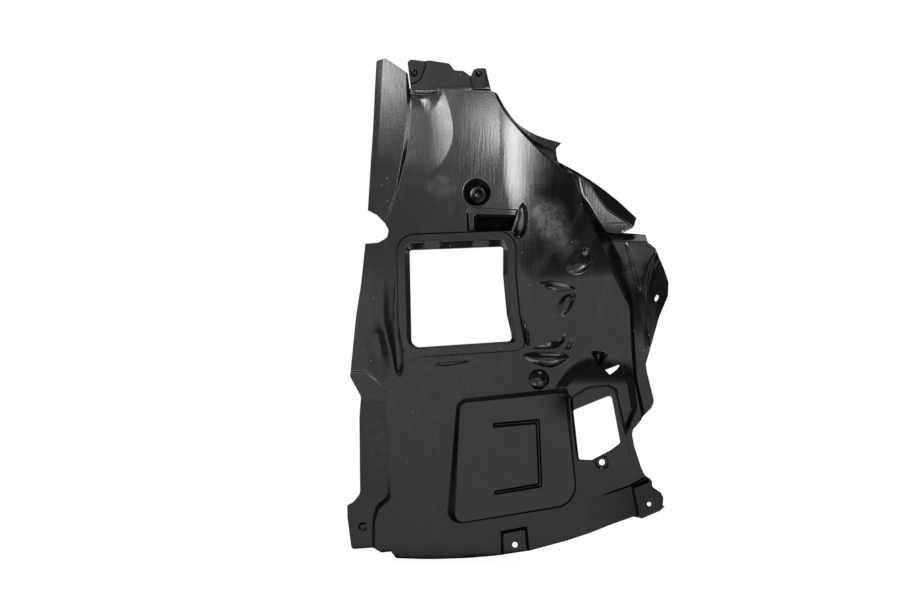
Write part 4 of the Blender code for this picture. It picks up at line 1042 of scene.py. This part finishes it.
def black_plastic():
    """Glossy black thermoformed sheet, drawn along Z: faint upright streaks, scuffs that also carry a painted
    sheen, and a little dust.
    """
    material, tree, shader = new_material("black_plastic")
    shader["IOR"].default_value = PLASTIC_IOR
    where = tree.nodes.new("ShaderNodeTexCoord").outputs["Object"]
    grain, streaks, waves = (sheet_noise(tree, where, *noise) for noise in (GRAIN, STREAKS, WAVES))
    stains = between(tree, sheet_noise(tree, where, *STAINS), *STAIN_RANGE)
    scuffs_and_painted_sheen = patches(tree, where, SCUFFS_AND_PAINTED_SHEEN)
    worn = patches(tree, where, WORN)
    # The scuffed patches' paler colour is partly painted highlight (a painted sheen), not only scuffing
    feed(tree, shader["Base Color"], weighted(tree, PLASTIC_COLOURS, stains, scuffs_and_painted_sheen, dust(tree, where)))
    feed(tree, shader["Roughness"], weighted(tree, PLASTIC_ROUGHNESSES, streaks, scuffs_and_painted_sheen, worn))
    height = weighted(tree, PLASTIC_HEIGHTS, grain, streaks, waves)
    bump = add_node(tree, "Bump", {"Distance": MM, "Height": height})
    feed(tree, shader["Normal"], bump.outputs["Normal"])
    return material


def add_object(name, data):
    """An object in the scene."""
    added = bpy.data.objects.new(name, data)
    bpy.context.scene.collection.objects.link(added)
    return added


def make_liner():
    liner = add_object("arch_liner_sheet", sheet_mesh("arch_liner_sheet"))
    liner.data.materials.append(black_plastic())
    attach(liner, "root")
    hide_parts("arch_liner")


# Camera of the photograph: far away, level, a little left of the part's middle
CAMERA_PLACE = (-72, -7667, 3.25)
CAMERA_LENS = 200

# Brightness of the studio round the horizon and above it: degrees from the camera's side to the right, and
# the brightness there. The one gives way to the other between two heights, as sines of the angle above level.
HORIZON = [
    (-180, 1), (-160, 1), (-142, 0.12), (-85, 0.12), (-72, 0.15), (-70, 1.5), (-60, 1.5), (-58, 0.2),
    (-45, 0.75), (-10, 1.6), (8, 1.65), (18, 0.15), (48, 0.12), (50, 2.2), (58, 2.2), (60, 0.12),
    (85, 0.1), (142, 0.12), (160, 1), (180, 1),
]
OVERHEAD = [(-180, 1), (-150, 0.5), (-60, 0.15), (0, 0.15), (60, 0.12), (150, 0.5), (180, 1)]
OVERHEAD_SINES = (0.12, 0.35)

# Floor: the part of its white that is always there, and the part that takes the object's shadow
FLOOR_GLOW = 0.9
FLOOR_PAINT = 0.3
FLOOR_SIZE = 8
FLOOR_GAP = 0.001
MATT = 0.9

# Flat softboxes that lie before the object and shine up: name, centre (x, y), heading in degrees to the right
# of straight ahead, width and length, brightness, spread, and how the brightness changes from left to right
# and from the object outwards: the place, from 0 to 1, and the share there
BOX_LEVEL = -0.36
BOXES = [
    ("far_box", (0.45, -0.858), 14, 0.62, 1, 31, 140,
     ((0, 0.25), (0.1, 0.5), (0.22, 0.95), (0.3, 1), (0.46, 0.75), (0.68, 0.18), (1, 0.03)),
     ((0, 0.7), (0.3, 1), (0.7, 1.7), (1, 2))),
    ("near_box", (0.22, -0.43), 0, 0.66, 0.38, 7.4, 120,
     ((0, 0), (0.1, 0.1), (0.17, 0.45), (0.26, 0.9), (0.4, 1.1), (1, 1)),
     ((0, 0.1), (0.12, 0.85), (0.25, 1), (0.45, 0.9), (0.65, 0.5), (1, 0.1))),
    ("blade_box", (-0.29, -0.25), 0, 0.36, 0.38, 6.8, 120,
     ((0, 0.6), (0.2, 1), (0.75, 1), (1, 0.1)),
     ((0, 1), (0.3, 1), (0.4, 0.75), (0.5, 0.5), (0.63, 0.35), (0.8, 0.18), (1, 0.05))),
]

# Softbox above, at the right: place, the point it faces, side and brightness
HIGH_BOX_PLACE = (0.35, -0.35, 1.5)
HIGH_BOX_TARGET = (0.05, 0, 0)
HIGH_BOX_SIDE = 0.6
HIGH_BOX_BRIGHTNESS = 4.5

# Dark cards, seen only in the plastic: one stands at the right front, and two lie below and to the right
CARD_PAINT = 0.02
CARD_FOOT = [(0.55, -1.45), (0.85, -0.3)]
CARD_HEIGHT = 0.85
LOW_CARDS = [
    ((-0.27, -0.05), (0.27, -0.05), (0.27, 0.35), (-0.27, 0.35)),
    ((0.3, -0.14), (2.6, -0.14), (2.6, 2.2), (0.3, 2.2)),
]


def make_camera():
    data = bpy.data.cameras.new("camera")
    data.lens = CAMERA_LENS
    camera = add_object("camera", data)
    camera.location = (np.array(CAMERA_PLACE) - np.array(SKETCH_CENTRE)) * MM
    camera.rotation_euler = (math.radians(90.0), 0.0, 0.0)
    bpy.context.scene.camera = camera


def grey_ramp(tree, value, stops):
    """A grey that follows a value by its stops: the place, from 0 to 1, and the brightness there."""
    node = add_node(tree, "ValToRGB", {"Fac": value})
    elements = node.color_ramp.elements
    while len(elements) < len(stops):
        elements.new(1.0)
    for element, (place, grey) in zip(elements, stops):
        element.position = place
        element.color = (grey, grey, grey, 1.0)
    return node.outputs["Color"]


def make_world():
    """A soft studio, bright behind the object and before it, and dim overhead and at the right front."""
    world = bpy.data.worlds.new("studio")
    world.use_nodes = True
    tree = world.node_tree
    where = tree.nodes.new("ShaderNodeTexCoord").outputs["Generated"]
    parts = add_node(tree, "SeparateXYZ", {0: where}).outputs
    angle = maths(tree, "ARCTAN2", parts["X"], maths(tree, "MULTIPLY", parts["Y"], -1.0))
    turn = between(tree, angle, -math.pi, math.pi, "LINEAR")
    round_level, overhead = (
        grey_ramp(tree, turn, [(degrees / 360.0 + 0.5, grey) for degrees, grey in table])
        for table in (HORIZON, OVERHEAD)
    )
    height = between(tree, parts["Z"], *OVERHEAD_SINES)
    # A Mix node takes its colours at sockets 6 and 7, and gives theirs at socket 2
    blend = add_node(tree, "Mix", {0: height, 6: round_level, 7: overhead}, data_type="RGBA")
    feed(tree, tree.nodes["Background"].inputs["Color"], blend.outputs[2])
    bpy.context.scene.world = world


def flat_object(name, quads, paint, grey):
    """An object of flat quads with a matt grey paint. Its node tree and shader come with it."""
    mesh = bpy.data.meshes.new(name)
    corners = [corner for quad in quads for corner in quad]
    mesh.from_pydata(corners, [], [range(first, first + 4) for first in range(0, len(corners), 4)])
    material, tree, shader = new_material(paint)
    shader["Base Color"].default_value = (grey, grey, grey, 1.0)
    shader["Roughness"].default_value = MATT
    mesh.materials.append(material)
    return add_object(name, mesh), tree, shader


def make_floor():
    """A pale floor, white to the camera and in the plastic, on which the object's shadow still falls."""
    z = CAD_BOX[0].z - FLOOR_GAP
    corners = [(x * FLOOR_SIZE, y * FLOOR_SIZE, z) for x, y in ((-1, -1), (1, -1), (1, 1), (-1, 1))]
    floor, tree, shader = flat_object("floor", [corners], "floor_paint", FLOOR_PAINT)
    path = tree.nodes.new("ShaderNodeLightPath").outputs
    seen = maths(tree, "MAXIMUM", path["Is Camera Ray"], path["Is Glossy Ray"])
    seen = maths(tree, "MAXIMUM", seen, path["Is Transmission Ray"])
    feed(tree, shader["Emission Strength"], maths(tree, "MULTIPLY", seen, FLOOR_GLOW))


def fade_lamp(data, across, along):
    """Makes a lamp's brightness change across it and along it by the shares given."""
    data.use_nodes = True
    tree = data.node_tree
    where = tree.nodes.new("ShaderNodeNewGeometry").outputs["Parametric"]
    parts = add_node(tree, "SeparateXYZ", {0: where}).outputs
    fade = maths(tree, "MULTIPLY", grey_ramp(tree, parts["X"], across), grey_ramp(tree, parts["Y"], along))
    feed(tree, tree.nodes["Emission"].inputs["Strength"], fade)


def make_lamp(name, width, length, brightness, spread):
    """A rectangular lamp of the brightness given, which the camera doesn't see."""
    data = bpy.data.lights.new(name, "AREA")
    data.shape = "RECTANGLE"
    data.size = width
    data.size_y = length
    data.energy = brightness * math.pi * width * length
    data.spread = math.radians(spread)
    lamp = add_object(name, data)
    lamp.visible_camera = False
    return lamp


def make_lamps():
    """The softboxes before the object and above it."""
    for name, (x, y), heading, width, length, brightness, spread, across, along in BOXES:
        lamp = make_lamp(name, width, length, brightness, spread)
        fade_lamp(lamp.data, across, along)
        lamp.location = (x, y, BOX_LEVEL)
        lamp.rotation_euler = (math.pi, 0.0, math.radians(heading))
    high = make_lamp("high_box", HIGH_BOX_SIDE, HIGH_BOX_SIDE, HIGH_BOX_BRIGHTNESS, 180.0)
    high.location = HIGH_BOX_PLACE
    facing = Vector(HIGH_BOX_TARGET) - Vector(HIGH_BOX_PLACE)
    high.rotation_euler = facing.to_track_quat("-Z", "Y").to_euler()


def make_cards():
    """The dark cards of the studio, seen only in the plastic."""
    z = CAD_BOX[0].z
    (ax, ay), (bx, by) = CARD_FOOT
    top = z + CARD_HEIGHT
    quads = [[(ax, ay, z), (bx, by, z), (bx, by, top), (ax, ay, top)]]
    quads += [[(x, y, z) for x, y in low_card] for low_card in LOW_CARDS]
    card, _, _ = flat_object("dark_cards", quads, "dark_card", CARD_PAINT)
    card.visible_camera = False
    card.visible_shadow = False
    card.visible_diffuse = False


make_liner()
make_camera()
make_world()
make_floor()
make_lamps()
make_cards()
scene = bpy.context.scene
scene.view_settings.view_transform = "Standard"
